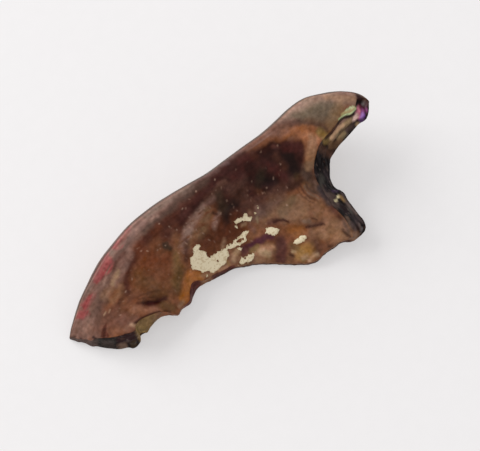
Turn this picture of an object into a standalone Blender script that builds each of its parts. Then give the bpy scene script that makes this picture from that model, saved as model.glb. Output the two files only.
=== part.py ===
"""Fossil dinosaur tooth fragment: one curved shard of enamel and dentine, lying on its broken inner side.

The shard is a long ridge that rolls over into a hidden flank at +Y, and a thin flange that spreads
towards -Y. Its -X end is the root break. At +X a hooked beak and a low lobe stand on each side of a notch.
The frame has +X along the shard, +Z up, and its origin at the middle of the footprint on the ground.
Sizes are millimetres in this file and metres in the finished object.
"""

import math
from typing import Callable, NamedTuple

import bpy
import numpy as np

# Driving dimensions, in millimetres.
LENGTH = 30.0
DRAWN_LENGTH = 30.0
GROUND = 0.0

# The hidden flank turns through this angle from the crest to its foot.
ROLL_ANGLE = math.radians(100.0)

# How finely the shard is drawn: cells along it, cells across it, bands down its walls, the rounds that even
# out the cells, and how far the sheets may ease away from single spot heights.
CELLS_ALONG = 76
CELLS_ACROSS = 22
WALL_BANDS = 5
RELAX_ROUNDS = 60
SHEET_EASE = 0.08
SHARP_EDGE = math.radians(38.0)

# Stations of the rim: x, y and height of the upper edge, how far the lower edge stands outside it, and
# the height of the lower edge. RIDGE and FLANGE run along the shard, ROOT_BREAK and BEAK_END across it.
ROOT_RIDGE_CORNER = (-14.9, 1.8, 0.6, 0.05, 0.1)
ROOT_FLANGE_CORNER = (-10.8, -1.4, 2.3, 0.40, 0.1)
BEAK_TIP_CORNER = (14.1, 2.3, 5.5, 1.10, 4.1)
LOBE_TIP_CORNER = (7.6, -5.6, 1.6, 0.30, 1.0)

RIDGE = (
    ROOT_RIDGE_CORNER,
    (-14.1, 2.2, 1.3, 0.3, 0.0),
    (-12.6, 3.0, 2.4, 0.5, 0.0),
    (-11.2, 3.5, 3.2, 0.7, 0.0),
    (-9.7, 4.0, 3.9, 0.9, 0.0),
    (-8.3, 4.3, 4.4, 1.0, 0.0),
    (-6.3, 4.6, 4.9, 1.1, 0.0),
    (-4.4, 4.6, 5.3, 1.2, 0.0),
    (-2.6, 4.5, 5.5, 1.2, 0.0),
    (-0.9, 4.3, 5.6, 1.2, 0.0),
    (0.8, 4.1, 5.6, 1.2, 0.0),
    (2.6, 4.1, 5.7, 1.2, 0.0),
    (4.6, 4.1, 5.8, 1.2, 0.0),
    (6.6, 4.1, 5.8, 1.2, 0.3),
    (8.2, 4.3, 5.9, 1.1, 0.8),
    (9.4, 4.5, 5.9, 1.0, 1.4),
    (10.7, 4.5, 5.9, 0.9, 2.0),
    (11.9, 4.0, 5.9, 0.9, 2.6),
    (13.0, 3.4, 5.8, 0.9, 3.2),
    (13.7, 2.8, 5.7, 0.9, 3.7),
    BEAK_TIP_CORNER,
)

BEAK_END = (
    BEAK_TIP_CORNER,
    (13.7, 2.0, 5.3, 1.1, 3.8),
    (13.3, 1.9, 5.1, 0.8, 3.5),
    (12.6, 2.0, 5.0, 1.0, 3.3),
    (11.9, 1.9, 4.8, 1.0, 3.1),
    (11.1, 1.7, 4.7, 0.9, 2.9),
    (10.4, 1.6, 4.5, 1.0, 2.8),
    (9.6, 1.4, 4.4, 1.1, 2.6),
    (8.7, 0.8, 4.2, 1.3, 2.5),
    (8.0, 0.1, 4.0, 1.4, 2.3),
    (7.7, -0.6, 3.8, 1.4, 2.2),
    (7.6, -1.3, 3.6, 1.4, 2.1),
    (7.5, -2.1, 3.5, 1.8, 1.9),
    (7.4, -2.9, 3.4, 1.8, 1.8),
    (7.5, -3.8, 3.2, 1.7, 1.6),
    (7.6, -4.5, 3.0, 1.6, 1.4),
    (7.6, -4.9, 2.7, 1.6, 1.2),
    (7.6, -5.3, 2.2, 1.3, 1.1),
    LOBE_TIP_CORNER,
)

FLANGE = (
    ROOT_FLANGE_CORNER,
    (-10.5, -1.1, 2.4, 0.3, 0.6),
    (-10.0, -1.0, 2.4, 0.7, 0.8),
    (-9.2, -1.1, 2.2, 0.4, 1.0),
    (-8.3, -1.3, 2.0, 0.1, 1.0),
    (-7.8, -1.6, 1.6, 0.0, 0.9),
    (-7.2, -2.0, 1.2, 0.0, 0.7),
    (-6.7, -1.8, 1.2, 0.0, 0.6),
    (-6.2, -1.8, 1.2, 0.0, 0.6),
    (-5.8, -1.7, 1.3, 0.1, 0.6),
    (-5.4, -1.2, 1.4, 0.3, 0.5),
    (-4.9, -0.8, 1.4, 0.4, 0.4),
    (-4.4, -0.8, 1.3, 0.3, 0.4),
    (-3.8, -1.1, 1.1, 0.0, 0.4),
    (-3.2, -1.1, 1.0, 0.1, 0.3),
    (-2.6, -1.2, 1.0, 0.1, 0.3),
    (-2.0, -1.3, 0.9, 0.1, 0.3),
    (-1.3, -1.4, 0.9, 0.1, 0.3),
    (-0.8, -1.7, 0.8, 0.0, 0.2),
    (0.6, -2.4, 0.6, 0.0, 0.1),
    (1.9, -3.4, 0.5, 0.0, 0.1),
    (3.1, -4.4, 0.5, 0.0, 0.1),
    (3.9, -4.9, 0.6, 0.0, 0.1),
    (4.6, -5.1, 0.7, 0.0, 0.2),
    (5.2, -5.0, 0.9, 0.0, 0.4),
    (6.1, -5.1, 1.1, 0.0, 0.6),
    (6.8, -5.2, 1.3, 0.0, 0.8),
    LOBE_TIP_CORNER,
)

ROOT_BREAK = (
    ROOT_RIDGE_CORNER,
    (-14.5, 1.3, 0.7, 0.1, 0.2),
    (-14.1, 0.8, 0.8, 0.1, 0.2),
    (-13.8, 0.4, 1.1, 0.2, 0.2),
    (-13.4, 0.2, 1.3, 0.3, 0.1),
    (-12.7, -0.4, 1.6, 0.4, 0.1),
    (-12.1, -0.8, 1.8, 0.5, 0.0),
    (-11.5, -1.1, 2.0, 0.5, 0.0),
    (-11.2, -1.3, 2.2, 0.6, 0.0),
    ROOT_FLANGE_CORNER,
)

# Spot heights between the rims: the crest, the trough beside it, and the shelf that slopes to the flange.
CROWN_SPOTS = (
    (-12.2, 1.2, 2.3), (-10.7, 2.4, 3.2), (-9.4, 1.7, 3.3), (-10.7, -0.4, 2.4),
    (-9.0, 3.3, 4.2), (-8.8, 0.2, 2.7), (-7.0, -0.9, 2.1), (-6.4, 3.7, 5.0),
    (-6.2, 1.2, 3.4), (-5.0, 2.6, 4.5), (-4.9, 0.1, 2.4), (-3.5, 4.0, 5.6),
    (-2.7, 2.2, 4.5), (-2.8, 1.2, 3.3), (-3.0, -0.1, 1.8), (-1.0, 0.2, 2.2),
    (-0.7, 3.4, 5.6), (0.7, 1.5, 3.7), (0.6, -0.6, 2.2), (2.2, 3.4, 5.7),
    (2.1, 2.2, 4.6), (2.3, 0.9, 3.3), (2.2, -0.7, 2.5), (2.0, -2.2, 1.7),
    (3.9, -4.1, 1.3), (4.7, -2.4, 2.3), (4.3, 3.4, 5.8), (4.6, 2.0, 4.6),
    (4.6, 0.4, 3.2), (6.1, 3.5, 5.7), (6.6, 0.4, 3.7), (6.5, -1.1, 3.3),
    (6.3, -2.3, 3.0), (5.9, -3.5, 2.4), (6.4, -4.7, 1.8), (7.9, 0.9, 4.4),
    (8.6, 1.9, 4.9), (8.6, 3.6, 5.8), (10.4, 2.9, 5.6), (11.9, 2.9, 5.7),
)

# Spot heights of the hidden underside. Where they are below the ground the shard is worn flat and rests.
BASE_SPOTS = (
    (-12.9, 1.0, -0.2), (-11.4, 0.4, -0.2), (-11.2, 2.6, -0.3), (-9.0, 3.5, -0.3),
    (-9.0, 1.0, 0.6), (-6.0, 4.1, -0.3), (-6.0, 1.6, 1.1), (-7.6, -0.2, 0.5),
    (-4.6, 0.4, 0.5), (-3.0, 3.8, -0.3), (-3.0, 1.4, 1.2), (0.0, 3.5, -0.3),
    (0.0, 1.0, 1.2), (-0.4, -0.9, 0.1), (3.0, 3.5, -0.3), (3.0, 0.9, 1.4),
    (1.4, -1.8, -0.2), (3.0, -3.2, -0.3), (4.6, -3.6, -0.1), (4.9, 3.4, -0.2),
    (5.5, 1.2, 1.6), (5.0, -1.0, 0.9), (6.6, -3.2, 0.7), (7.2, 3.0, 0.9),
    (7.4, 0.6, 2.0), (9.6, 3.2, 1.9), (11.4, 2.8, 2.6), (12.8, 2.2, 3.1),
)


class Dent(NamedTuple):
    """A smooth hollow in the crown, or a welt if its depth is negative."""

    middle: tuple[float, float]
    half_length: float
    half_width: float
    turn: float
    depth: float


# How the wall beside the beak steps down: shares of the way out and of the way down, and where it starts
# and ends along the beak end.
LEDGES = ((0.0, 0.0), (0.08, 0.30), (0.42, 0.42), (0.50, 0.72), (0.85, 0.82), (1.0, 1.0))
LEDGE_START = 0.08
LEDGE_END = 0.36

DENTS = (
    Dent((6.9, 2.1), 1.3, 0.8, math.radians(-20.0), 0.45),
    Dent((-7.7, -0.3), 0.7, 0.24, math.radians(-38.0), 0.40),
    Dent((1.3, 1.1), 1.2, 0.5, math.radians(50.0), 0.25),
    Dent((-7.4, 2.6), 0.25, 0.25, 0.0, 0.12),
    Dent((8.4, 1.0), 1.0, 0.35, math.radians(52.0), -0.15),
)


def smooth_line(stations: tuple, count: int) -> np.ndarray:
    """A smooth line through every station, as evenly spaced points with all of the stations' values."""
    points = np.array(stations, float)
    padded = np.vstack([2 * points[0] - points[1], points, 2 * points[-1] - points[-2]])
    share = np.linspace(0.0, 1.0, 24, endpoint=False)[:, None]
    pieces = []
    for before, start, end, after in zip(padded, padded[1:], padded[2:], padded[3:]):
        leave = 0.5 * (end - before)
        arrive = 0.5 * (after - start)
        bend = 2 * (start - end) + leave + arrive
        ease = 3 * (end - start) - 2 * leave - arrive
        pieces.append(start + share * leave + share**2 * ease + share**3 * bend)
    fine = np.vstack([*pieces, points[-1:]])
    steps = np.linalg.norm(np.diff(fine[:, :2], axis=0), axis=1)
    walked = np.concatenate([[0.0], np.cumsum(steps)])
    wanted = np.linspace(0.0, walked[-1], count)
    return np.stack([np.interp(wanted, walked, column) for column in fine.T], axis=1)


def closed_rim(along: int, across: int) -> np.ndarray:
    """The stations of the whole rim, clockwise from above: ridge, beak end, flange, root break."""
    ridge = smooth_line(RIDGE, along + 1)
    beak_end = smooth_line(BEAK_END, across + 1)
    flange = smooth_line(FLANGE, along + 1)
    root_break = smooth_line(ROOT_BREAK, across + 1)
    return np.vstack([ridge[:-1], beak_end[:-1], flange[:0:-1], root_break[:0:-1]])


def outward(rim: np.ndarray) -> np.ndarray:
    """The direction, in plan, that faces away from the shard at each point of its rim."""
    reach = max(1, len(rim) // 90)
    along = np.roll(rim[:, :2], -reach, axis=0) - np.roll(rim[:, :2], reach, axis=0)
    facing = np.stack([-along[:, 1], along[:, 0]], axis=1)
    return facing / np.linalg.norm(facing, axis=1, keepdims=True)


def lower_rim(rim: np.ndarray) -> np.ndarray:
    """The lower edge of the walls: the rim moved outwards by its flare, at its lower height."""
    plan = rim[:, :2] + outward(rim) * rim[:, 3:4]
    return np.column_stack([plan, rim[:, 4]])


def filled(rim: np.ndarray, along: int, across: int) -> np.ndarray:
    """A grid of plan points that fills a rim, eased until its cells are even."""
    ridge = rim[: along + 1, :2]
    beak_end = rim[along : along + across + 1, :2]
    flange = rim[along + across : 2 * along + across + 1, :2][::-1]
    root_break = np.vstack([rim[2 * along + across :, :2], rim[:1, :2]])[::-1]
    u = np.linspace(0.0, 1.0, along + 1)[:, None, None]
    v = np.linspace(0.0, 1.0, across + 1)[None, :, None]
    lengthwise = (1 - v) * ridge[:, None] + v * flange[:, None]
    crosswise = (1 - u) * root_break[None] + u * beak_end[None]
    near = (1 - v) * ridge[0] + v * flange[0]
    far = (1 - v) * ridge[-1] + v * flange[-1]
    grid = lengthwise + crosswise - (1 - u) * near - u * far
    for _ in range(RELAX_ROUNDS):
        sides = grid[:-2, 1:-1] + grid[2:, 1:-1] + grid[1:-1, :-2] + grid[1:-1, 2:]
        grid[1:-1, 1:-1] = sides / 4
    return grid


def sheet_through(spots: np.ndarray) -> Callable[[np.ndarray], np.ndarray]:
    """The height at plan points of the smoothest sheet through the spot heights."""

    def bend(gaps: np.ndarray) -> np.ndarray:
        squared = (gaps**2).sum(axis=-1)
        return squared * np.log(squared + 1e-12)

    where, heights = spots[:, :2], spots[:, 2]
    count = len(spots)
    tilt = np.column_stack([np.ones(count), where])
    system = np.zeros((count + 3, count + 3))
    system[:count, :count] = bend(where[:, None] - where[None])
    system[:count, :count] += SHEET_EASE * np.eye(count)
    system[:count, count:] = tilt
    system[count:, :count] = tilt.T
    weights = np.linalg.solve(system, np.concatenate([heights, np.zeros(3)]))

    def height(plan: np.ndarray) -> np.ndarray:
        flat = plan.reshape(-1, 2)
        curved = bend(flat[:, None] - where[None]) @ weights[:count]
        tilted = weights[count] + flat @ weights[count + 1 :]
        return (curved + tilted).reshape(plan.shape[:-1])

    return height


def dented(plan: np.ndarray) -> np.ndarray:
    """How deep the dents are at each plan point."""
    depth = np.zeros(plan.shape[:-1])
    for dent in DENTS:
        away = plan - np.array(dent.middle)
        cos, sin = math.cos(dent.turn), math.sin(dent.turn)
        lengthwise = (away[..., 0] * cos + away[..., 1] * sin) / dent.half_length
        crosswise = (away[..., 1] * cos - away[..., 0] * sin) / dent.half_width
        depth += dent.depth * np.exp(-(lengthwise**2 + crosswise**2) / 2)
    return depth


def border(grid: np.ndarray) -> np.ndarray:
    """The outer points of a grid, in the order of the rim."""
    return np.concatenate([grid[:-1, 0], grid[-1, :-1], grid[:0:-1, -1], grid[0, :0:-1]])


def rolled(down: float) -> tuple[float, float]:
    """How far out and how far down the hidden flank is, as shares, after this share of its roll."""
    angle = down * ROLL_ANGLE
    return math.sin(angle) / math.sin(ROLL_ANGLE), (1 - math.cos(angle)) / (1 - math.cos(ROLL_ANGLE))


def stepped(down: float) -> tuple[float, float]:
    """How far out and how far down the stepped wall is, as shares, after this share of its way."""
    corners = np.linspace(0.0, 1.0, len(LEDGES))
    outs, drops = zip(*LEDGES)
    return float(np.interp(down, corners, outs)), float(np.interp(down, corners, drops))


def wall_bands(top: np.ndarray, foot: np.ndarray, along: int, across: int) -> list[np.ndarray]:
    """The rings between the two rims: rolled at the ridge, stepped at the beak, else straight."""
    place = np.arange(len(top))
    ridge_side = place <= along
    beak_share = (place - along) / across
    beak_side = (beak_share > LEDGE_START) & (beak_share < LEDGE_END)
    way = foot - top
    bands = []
    for down in np.linspace(0.0, 1.0, WALL_BANDS + 1)[1:-1]:
        shares = np.full((len(top), 2), down)
        shares[ridge_side] = rolled(down)
        shares[beak_side] = stepped(down)
        bands.append(top + way * shares[:, [0, 0, 1]])
    return bands


def shard_points() -> tuple[np.ndarray, list[np.ndarray], np.ndarray]:
    """The crown grid, the wall bands and the base grid, in millimetres."""
    rim = closed_rim(CELLS_ALONG, CELLS_ACROSS)
    foot = lower_rim(rim)
    crown_height = sheet_through(np.vstack([rim[::2, :3], np.array(CROWN_SPOTS)]))
    base_height = sheet_through(np.vstack([foot[::2], np.array(BASE_SPOTS)]))
    crown_plan = filled(rim, CELLS_ALONG, CELLS_ACROSS)
    base_plan = filled(foot, CELLS_ALONG, CELLS_ACROSS)
    crown_z = crown_height(crown_plan) - dented(crown_plan)
    base_z = np.maximum(base_height(base_plan), GROUND)
    crown = np.dstack([crown_plan, crown_z])
    base = np.dstack([base_plan, base_z])
    return crown, wall_bands(border(crown), border(base), CELLS_ALONG, CELLS_ACROSS), base


def grid_faces(first: int, rows: int, columns: int, facing_up: bool) -> list[tuple[int, ...]]:
    """The cells of a grid whose points are numbered row by row from first."""
    faces = []
    for row in range(rows):
        for column in range(columns):
            corner = first + row * (columns + 1) + column
            cell = (corner, corner + 1, corner + columns + 2, corner + columns + 1)
            faces.append(cell if facing_up else cell[::-1])
    return faces


def shard_mesh() -> bpy.types.Mesh:
    """The shard's closed mesh, in metres."""
    crown, bands, base = shard_points()
    to_metres = 0.001 * LENGTH / DRAWN_LENGTH
    points = np.vstack([crown.reshape(-1, 3), *bands, base.reshape(-1, 3)]) * to_metres
    grid_size = crown.shape[0] * crown.shape[1]
    numbers = np.arange(grid_size).reshape(crown.shape[:2])
    ring_size = len(border(numbers))
    rings = [border(numbers)]
    rings += [grid_size + band * ring_size + np.arange(ring_size) for band in range(len(bands))]
    base_first = grid_size + len(bands) * ring_size
    rings.append(border(numbers) + base_first)
    faces = grid_faces(0, CELLS_ALONG, CELLS_ACROSS, facing_up=True)
    faces += grid_faces(base_first, CELLS_ALONG, CELLS_ACROSS, facing_up=False)
    for upper, lower in zip(rings, rings[1:]):
        for here, there in zip(range(ring_size), [*range(1, ring_size), 0]):
            faces.append((upper[here], upper[there], lower[there], lower[here]))
    mesh = bpy.data.meshes.new("tooth_fragment")
    mesh.from_pydata(points.tolist(), [], [tuple(map(int, face)) for face in faces])
    mesh.validate()
    mesh.shade_smooth()
    mesh.set_sharp_from_angle(angle=SHARP_EDGE)
    return mesh


def fossil_material() -> bpy.types.Material:
    """Glossy brown fossil enamel."""
    material = bpy.data.materials.new("fossil_enamel")
    material.use_nodes = True
    shader = material.node_tree.nodes["Principled BSDF"]
    shader.inputs["Base Color"].default_value = (0.16, 0.07, 0.035, 1.0)
    shader.inputs["Roughness"].default_value = 0.35
    shader.inputs["Metallic"].default_value = 0.0
    return material


def main() -> None:
    """Builds the tooth fragment in an empty scene."""
    for thing in list(bpy.data.objects):
        bpy.data.objects.remove(thing)
    mesh = shard_mesh()
    mesh.materials.append(fossil_material())
    tooth = bpy.data.objects.new("tooth_fragment", mesh)
    bpy.context.scene.collection.objects.link(tooth)


if __name__ == "__main__":
    main()
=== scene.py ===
"""Looks of a fossil dinosaur tooth fragment: one glossy brown shard of enamel, lying on its broken side.

The shard is one piece. Its shape repeats the stations and spot heights of its solid at a finer grain, adds a
line of heights for the rounded crest, and carries the low relief of the enamel, the broken faces, the worn
underside and the mineral crust. Its colour is laid on as soft strokes and patches in plan; some of them are
painted sheen, painted glints and painted shade. Three finishes dress it: enamel with the crust on it, broken
faces, and the dentine of the underside.
Sizes are millimetres until the mesh is made, in the part's own frame: +X along the shard, +Z up.
"""

import itertools
import logging
import math
from dataclasses import dataclass
from enum import Enum
from typing import Callable

import bpy
import numpy as np
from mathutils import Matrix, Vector


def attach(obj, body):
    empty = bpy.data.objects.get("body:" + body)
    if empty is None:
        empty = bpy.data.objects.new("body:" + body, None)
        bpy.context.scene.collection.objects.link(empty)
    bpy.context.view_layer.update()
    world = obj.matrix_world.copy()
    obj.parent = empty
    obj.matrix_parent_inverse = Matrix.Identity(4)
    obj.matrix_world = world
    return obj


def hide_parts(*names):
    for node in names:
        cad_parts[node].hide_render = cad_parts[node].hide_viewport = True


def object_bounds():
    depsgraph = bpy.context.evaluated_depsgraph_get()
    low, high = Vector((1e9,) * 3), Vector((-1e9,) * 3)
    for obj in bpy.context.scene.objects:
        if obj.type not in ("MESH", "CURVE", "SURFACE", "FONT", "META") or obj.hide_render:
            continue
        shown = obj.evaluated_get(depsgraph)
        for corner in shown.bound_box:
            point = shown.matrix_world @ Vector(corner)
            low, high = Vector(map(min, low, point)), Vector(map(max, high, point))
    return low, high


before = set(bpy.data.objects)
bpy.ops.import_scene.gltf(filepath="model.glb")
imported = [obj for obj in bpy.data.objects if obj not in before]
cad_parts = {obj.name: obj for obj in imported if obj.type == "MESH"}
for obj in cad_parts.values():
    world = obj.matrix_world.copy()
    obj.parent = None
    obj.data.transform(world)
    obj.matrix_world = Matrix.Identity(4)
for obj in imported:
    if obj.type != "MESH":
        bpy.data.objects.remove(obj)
CAD_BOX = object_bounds()

MM = 0.001
NODE = "tooth_fragment"
BODY = "root"
LOG = logging.getLogger("tooth")

Span = tuple[float, float]
Triple = tuple[float, float, float]
Plan = tuple[float, float]
Path = tuple[Plan, ...]
Stations = tuple[tuple[float, ...], ...]
Socket = bpy.types.NodeSocket

# Reach of the growth coordinates along the shard, across its crown and down its hidden flank.
GROWTH_SPAN = np.array([30.0, 8.0])
FLANK_SPAN = 4.0
# Cells of the noise that moves marks, and how far apart its seeds for x and y are.
WANDER_CELL = 0.8
WANDER_SEEDS_APART = 31
# How the flank's noise is packed along each axis: it is drawn out along the shard.
FLANK_GRAIN = np.array([0.16, 1.0, 1.0])
# How far noise moves the flank's marks, along the shard and up it.
FLANK_REACH = np.array([1.6, 0.4])
# How the noise of the enamel's fine lines is packed along each axis.
RELIEF_GRAIN = (0.12, 1.0, 0.5)
# How noise is packed along and across the growth lines: for streaks, for bands and for torn marks.
STREAK_GRAIN, BAND_GRAIN, TEAR_GRAIN = np.array([0.1, 1.0]), np.array([0.08, 1.0]), np.array([0.3, 1.0])
# What the mottle adds to red, green and blue where it is redder and where it is more olive.
REDDER, MOSSIER = np.array([0.05, -0.02, -0.08]), np.array([-0.03, 0.035, -0.04])
# Values that a finish's noise mostly lies between.
NOISE_SPAN = (0.3, 0.7)
# Numbers that stir a corner of the noise's lattice and its seed into a value.
CORNER_PRIMES = (73856093, 19349663, 83492791)
SEED_STEP = 2654435
STIRRER = 1274126177
# Points that a smooth line gets between two of its stations.
LINE_STEPS = 24
# The rim's facing is measured over one part of its length in this many.
FACING_PARTS = 90


class Zone(Enum):
    """The parts of the shard's skin, which take different finishes."""

    ENAMEL = 0
    BREAK = 1
    DENTINE = 2


class Tint(Enum):
    """Colours of the fossil, as 8-bit display values."""

    UMBER = (124, 76, 50)
    UMBER_DARK = (82, 47, 34)
    SMOKE_BROWN = (74, 54, 45)
    MAHOGANY = (54, 26, 21)
    MAHOGANY_WARM = (84, 45, 34)
    MAROON = (60, 27, 23)
    MAROON_RED = (80, 38, 34)
    MAROON_TAN = (94, 55, 48)
    NIGHT = (30, 17, 14)
    PLUM = (50, 27, 28)
    PLUM_BLACK = (32, 15, 17)
    SLOT_RED = (56, 18, 15)
    RUST = (92, 48, 28)
    RUST_RED = (118, 62, 36)
    RUST_DARK = (62, 34, 24)
    VIOLET = (84, 42, 54)
    VIOLET_BROWN = (84, 50, 46)
    MAUVE = (112, 84, 74)
    MAUVE_DARK = (88, 63, 54)
    ROSE_GREY = (128, 95, 84)
    PALE_EDGE = (152, 118, 104)
    PALE_TAN = (160, 126, 100)
    PINK_TAN = (146, 100, 78)
    RED = (146, 70, 70)
    TAN = (140, 104, 80)
    RIM_TAN = (154, 124, 108)
    RIM_LIGHT = (176, 138, 112)
    RIM_SAND = (156, 124, 92)
    STRIP_TAN = (148, 106, 76)
    MAUVE_BROWN = (108, 72, 58)
    GREY_OLIVE = (122, 97, 72)
    SLOPE_BROWN = (88, 57, 48)
    SAND = (150, 110, 82)
    TAN_BROWN = (120, 90, 66)
    SAND_DULL = (126, 88, 64)
    GREY_TAN = (126, 100, 84)
    PEACH = (178, 130, 98)
    OCHRE = (178, 132, 76)
    AMBER = (168, 104, 52)
    AMBER_PINK = (188, 122, 84)
    AMBER_DULL = (140, 94, 64)
    BEAK_OLIVE = (118, 101, 84)
    OLIVE_TAN = (112, 84, 54)
    OLIVE_PALE = (124, 92, 66)
    OLIVE_DULL = (100, 74, 46)
    OLIVE_DARK = (54, 42, 28)
    OLIVE_SHADE = (68, 48, 34)
    OLIVE_GREY = (112, 96, 84)
    OLIVE_YELLOW = (140, 114, 70)
    CHIP_PALE = (188, 170, 124)
    CHIP_OLIVE = (130, 102, 66)
    CHIP_BRIGHT = (146, 114, 74)
    NOTCH_BROWN = (82, 56, 45)
    CREST_MAUVE = (112, 86, 82)
    AMBER_BROWN = (146, 92, 52)
    LEDGE_TAN = (206, 166, 132)
    GLINT_CREAM = (255, 214, 200)
    # Grey of flecks on the broken faces, and of painted glints on them.
    GLINT_AND_FLECK_GREY = (116, 98, 92)
    FLECK_BROWN = (100, 72, 58)
    GREEN_BLACK = (58, 44, 32)
    SLATE = (86, 72, 71)
    SLATE_BROWN = (92, 74, 68)
    SLATE_DARK = (50, 40, 42)
    LOBE_SLATE = (64, 53, 52)
    SLATE_GREEN = (70, 66, 60)
    BLACK = (19, 12, 12)
    BROWN_BLACK = (46, 30, 26)
    STEP_TAN = (172, 142, 108)
    STEP_OLIVE = (150, 130, 98)
    PALE_GREEN = (196, 208, 158)
    HOT_PINK = (216, 128, 148)
    PINK_PALE = (210, 160, 160)
    MAGENTA = (162, 86, 142)
    LILAC = (150, 90, 190)
    LAVENDER = (212, 170, 232)
    WINE = (78, 24, 38)
    DARK_VIOLET = (66, 42, 72)
    GREY_GLINT = (120, 112, 112)
    CREAM = (216, 202, 160)
    CRUST = (243, 229, 196)
    SPECK = (184, 148, 128)
    DENTINE = (134, 104, 76)
    DENTINE_DARK = (84, 58, 42)
    DENTINE_PALE = (172, 148, 116)


def linear(tint: Tint) -> np.ndarray:
    """A tint's linear red, green and blue, by the usual display curve."""
    share = np.array(tint.value) / 255.0
    return np.where(share <= 0.04045, share / 12.92, ((share + 0.055) / 1.055) ** 2.4)


def smooth_step(low: float, high: float, value: np.ndarray) -> np.ndarray:
    """Eases from 0 at low to 1 at high.

    Args:
        low: Value where the ease starts.
        high: Value where the ease ends.
        value: Values to ease.

    Returns:
        The eased shares, in the shape of value.
    """
    share = np.clip((value - low) / (high - low), 0.0, 1.0)
    return share * share * (3.0 - 2.0 * share)


def lattice_noise(points: np.ndarray, cell: float, seed: int) -> np.ndarray:
    """Smooth noise from -1 to 1.

    Args:
        points: Points in the last axis, of two or three coordinates.
        cell: Size of one noise cell, in the points' unit.
        seed: Number that picks the pattern.

    Returns:
        One value for each point.
    """
    scaled = points / cell
    low = np.floor(scaled).astype(np.int64)
    share = scaled - low
    ease = share * share * (3.0 - 2.0 * share)
    primes = np.array(CORNER_PRIMES[: points.shape[-1]], np.int64)
    total = np.zeros(points.shape[:-1])
    for corner in itertools.product((0, 1), repeat=points.shape[-1]):
        mixed = ((low + np.array(corner)) * primes).sum(axis=-1) + seed * SEED_STEP
        mixed = (mixed ^ (mixed >> 13)) * STIRRER
        value = ((mixed ^ (mixed >> 16)) & 0xFFFF) / 32767.5 - 1.0
        weight = np.prod(np.where(np.array(corner) == 1, ease, 1.0 - ease), axis=-1)
        total += weight * value
    return total


def layered_noise(points: np.ndarray, cell: float, seed: int, layers: int = 3) -> np.ndarray:
    """Noise whose layers halve in size and strength.

    Args:
        points: Points in the last axis.
        cell: Size of the broadest layer's cells.
        seed: Number that picks the pattern.
        layers: How many layers are added.

    Returns:
        One value for each point, from about -1 to 1.
    """
    total = np.zeros(points.shape[:-1])
    for layer in range(layers):
        total += lattice_noise(points, cell / 2**layer, seed + layer) / 2**layer
    return total / (2.0 - 0.5 ** (layers - 1))


def line_distance(plan: np.ndarray, path: Path) -> np.ndarray:
    """Distance from plan points to a broken line.

    Args:
        plan: Points, n by 2.
        path: Corners of the line, or a single point.

    Returns:
        One distance for each point.
    """
    corners = np.array(path, float)
    nearest = np.hypot(*(plan - corners[0]).T)
    for start, end in zip(corners, corners[1:]):
        way = end - start
        share = np.clip((plan - start) @ way / max(float(way @ way), 1e-9), 0.0, 1.0)
        nearest = np.minimum(nearest, np.hypot(*(plan - start - share[:, None] * way).T))
    return nearest


def inside_depth(plan: np.ndarray, outline: Path) -> np.ndarray:
    """How far plan points are inside a closed outline, negative outside it.

    Args:
        plan: Points, n by 2.
        outline: Corners of the outline.

    Returns:
        One signed depth for each point.
    """
    corners = np.array(outline, float)
    crossings = np.zeros(len(plan), bool)
    for (x0, y0), (x1, y1) in zip(corners, np.roll(corners, -1, axis=0)):
        if y0 == y1:
            continue
        spans = (y0 > plan[:, 1]) != (y1 > plan[:, 1])
        crossings ^= spans & (plan[:, 0] < x0 + (plan[:, 1] - y0) * (x1 - x0) / (y1 - y0))
    edge = line_distance(plan, (*outline, outline[0]))
    return np.where(crossings, edge, -edge)


@dataclass(frozen=True)
class Stroke:
    """A soft-edged stroke of colour in plan.

    Attributes:
        name: What it shows.
        tint: Its colour.
        half_width: Distance from its line to the middle of its soft edge.
        softness: Half the breadth of its soft edge.
        strength: How much it covers what lies under it.
        path: Corners of its line.
    """

    name: str
    tint: Tint
    half_width: float
    softness: float
    strength: float
    path: Path

    def cover(self, plan: np.ndarray) -> np.ndarray:
        """The share of colour that the stroke lays on each plan point.

        Args:
            plan: Points, n by 2.

        Returns:
            One share for each point.
        """
        low, high = self.half_width - self.softness, self.half_width + self.softness
        return self.strength * (1.0 - smooth_step(low, high, line_distance(plan, self.path)))


@dataclass(frozen=True)
class Patch:
    """A patch of colour with a soft outline in plan.

    Attributes:
        name: What it shows.
        tint: Its colour.
        softness: Half the breadth of its soft edge.
        strength: How much it covers what lies under it.
        outline: Its corners.
    """

    name: str
    tint: Tint
    softness: float
    strength: float
    outline: Path

    def cover(self, plan: np.ndarray) -> np.ndarray:
        """The share of colour that the patch lays on each plan point."""
        depth = inside_depth(plan, self.outline)
        return self.strength * smooth_step(-self.softness, self.softness, depth)


@dataclass(frozen=True)
class Groove:
    """A fine groove in plan, or a welt if its depth is negative.

    Attributes:
        name: What it shows.
        depth: Depth at its middle.
        half_width: Distance from its line to where it has run out.
        path: Corners of its line.
    """

    name: str
    depth: float
    half_width: float
    path: Path

    def sink(self, plan: np.ndarray) -> np.ndarray:
        """How deep the groove is at each plan point."""
        return self.depth * (1.0 - smooth_step(0.0, self.half_width, line_distance(plan, self.path)))


def blend(colour: np.ndarray, target: np.ndarray, share: np.ndarray) -> None:
    """Moves a colour towards another, in place.

    Args:
        colour: Linear colours, n by 3.
        target: The linear colour that covers it, or one for each place.
        share: How much that covers, one share for each place.
    """
    colour += share[:, None] * (target - colour)


def lay(colour: np.ndarray, places: np.ndarray, marks: tuple[Stroke | Patch, ...]) -> None:
    """Lays marks over a colour, in order and in place.

    Args:
        colour: Linear colours, n by 3.
        places: Places in the marks' own plane, n by 2.
        marks: The marks.
    """
    for mark in marks:
        blend(colour, linear(mark.tint), mark.cover(places))


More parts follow.
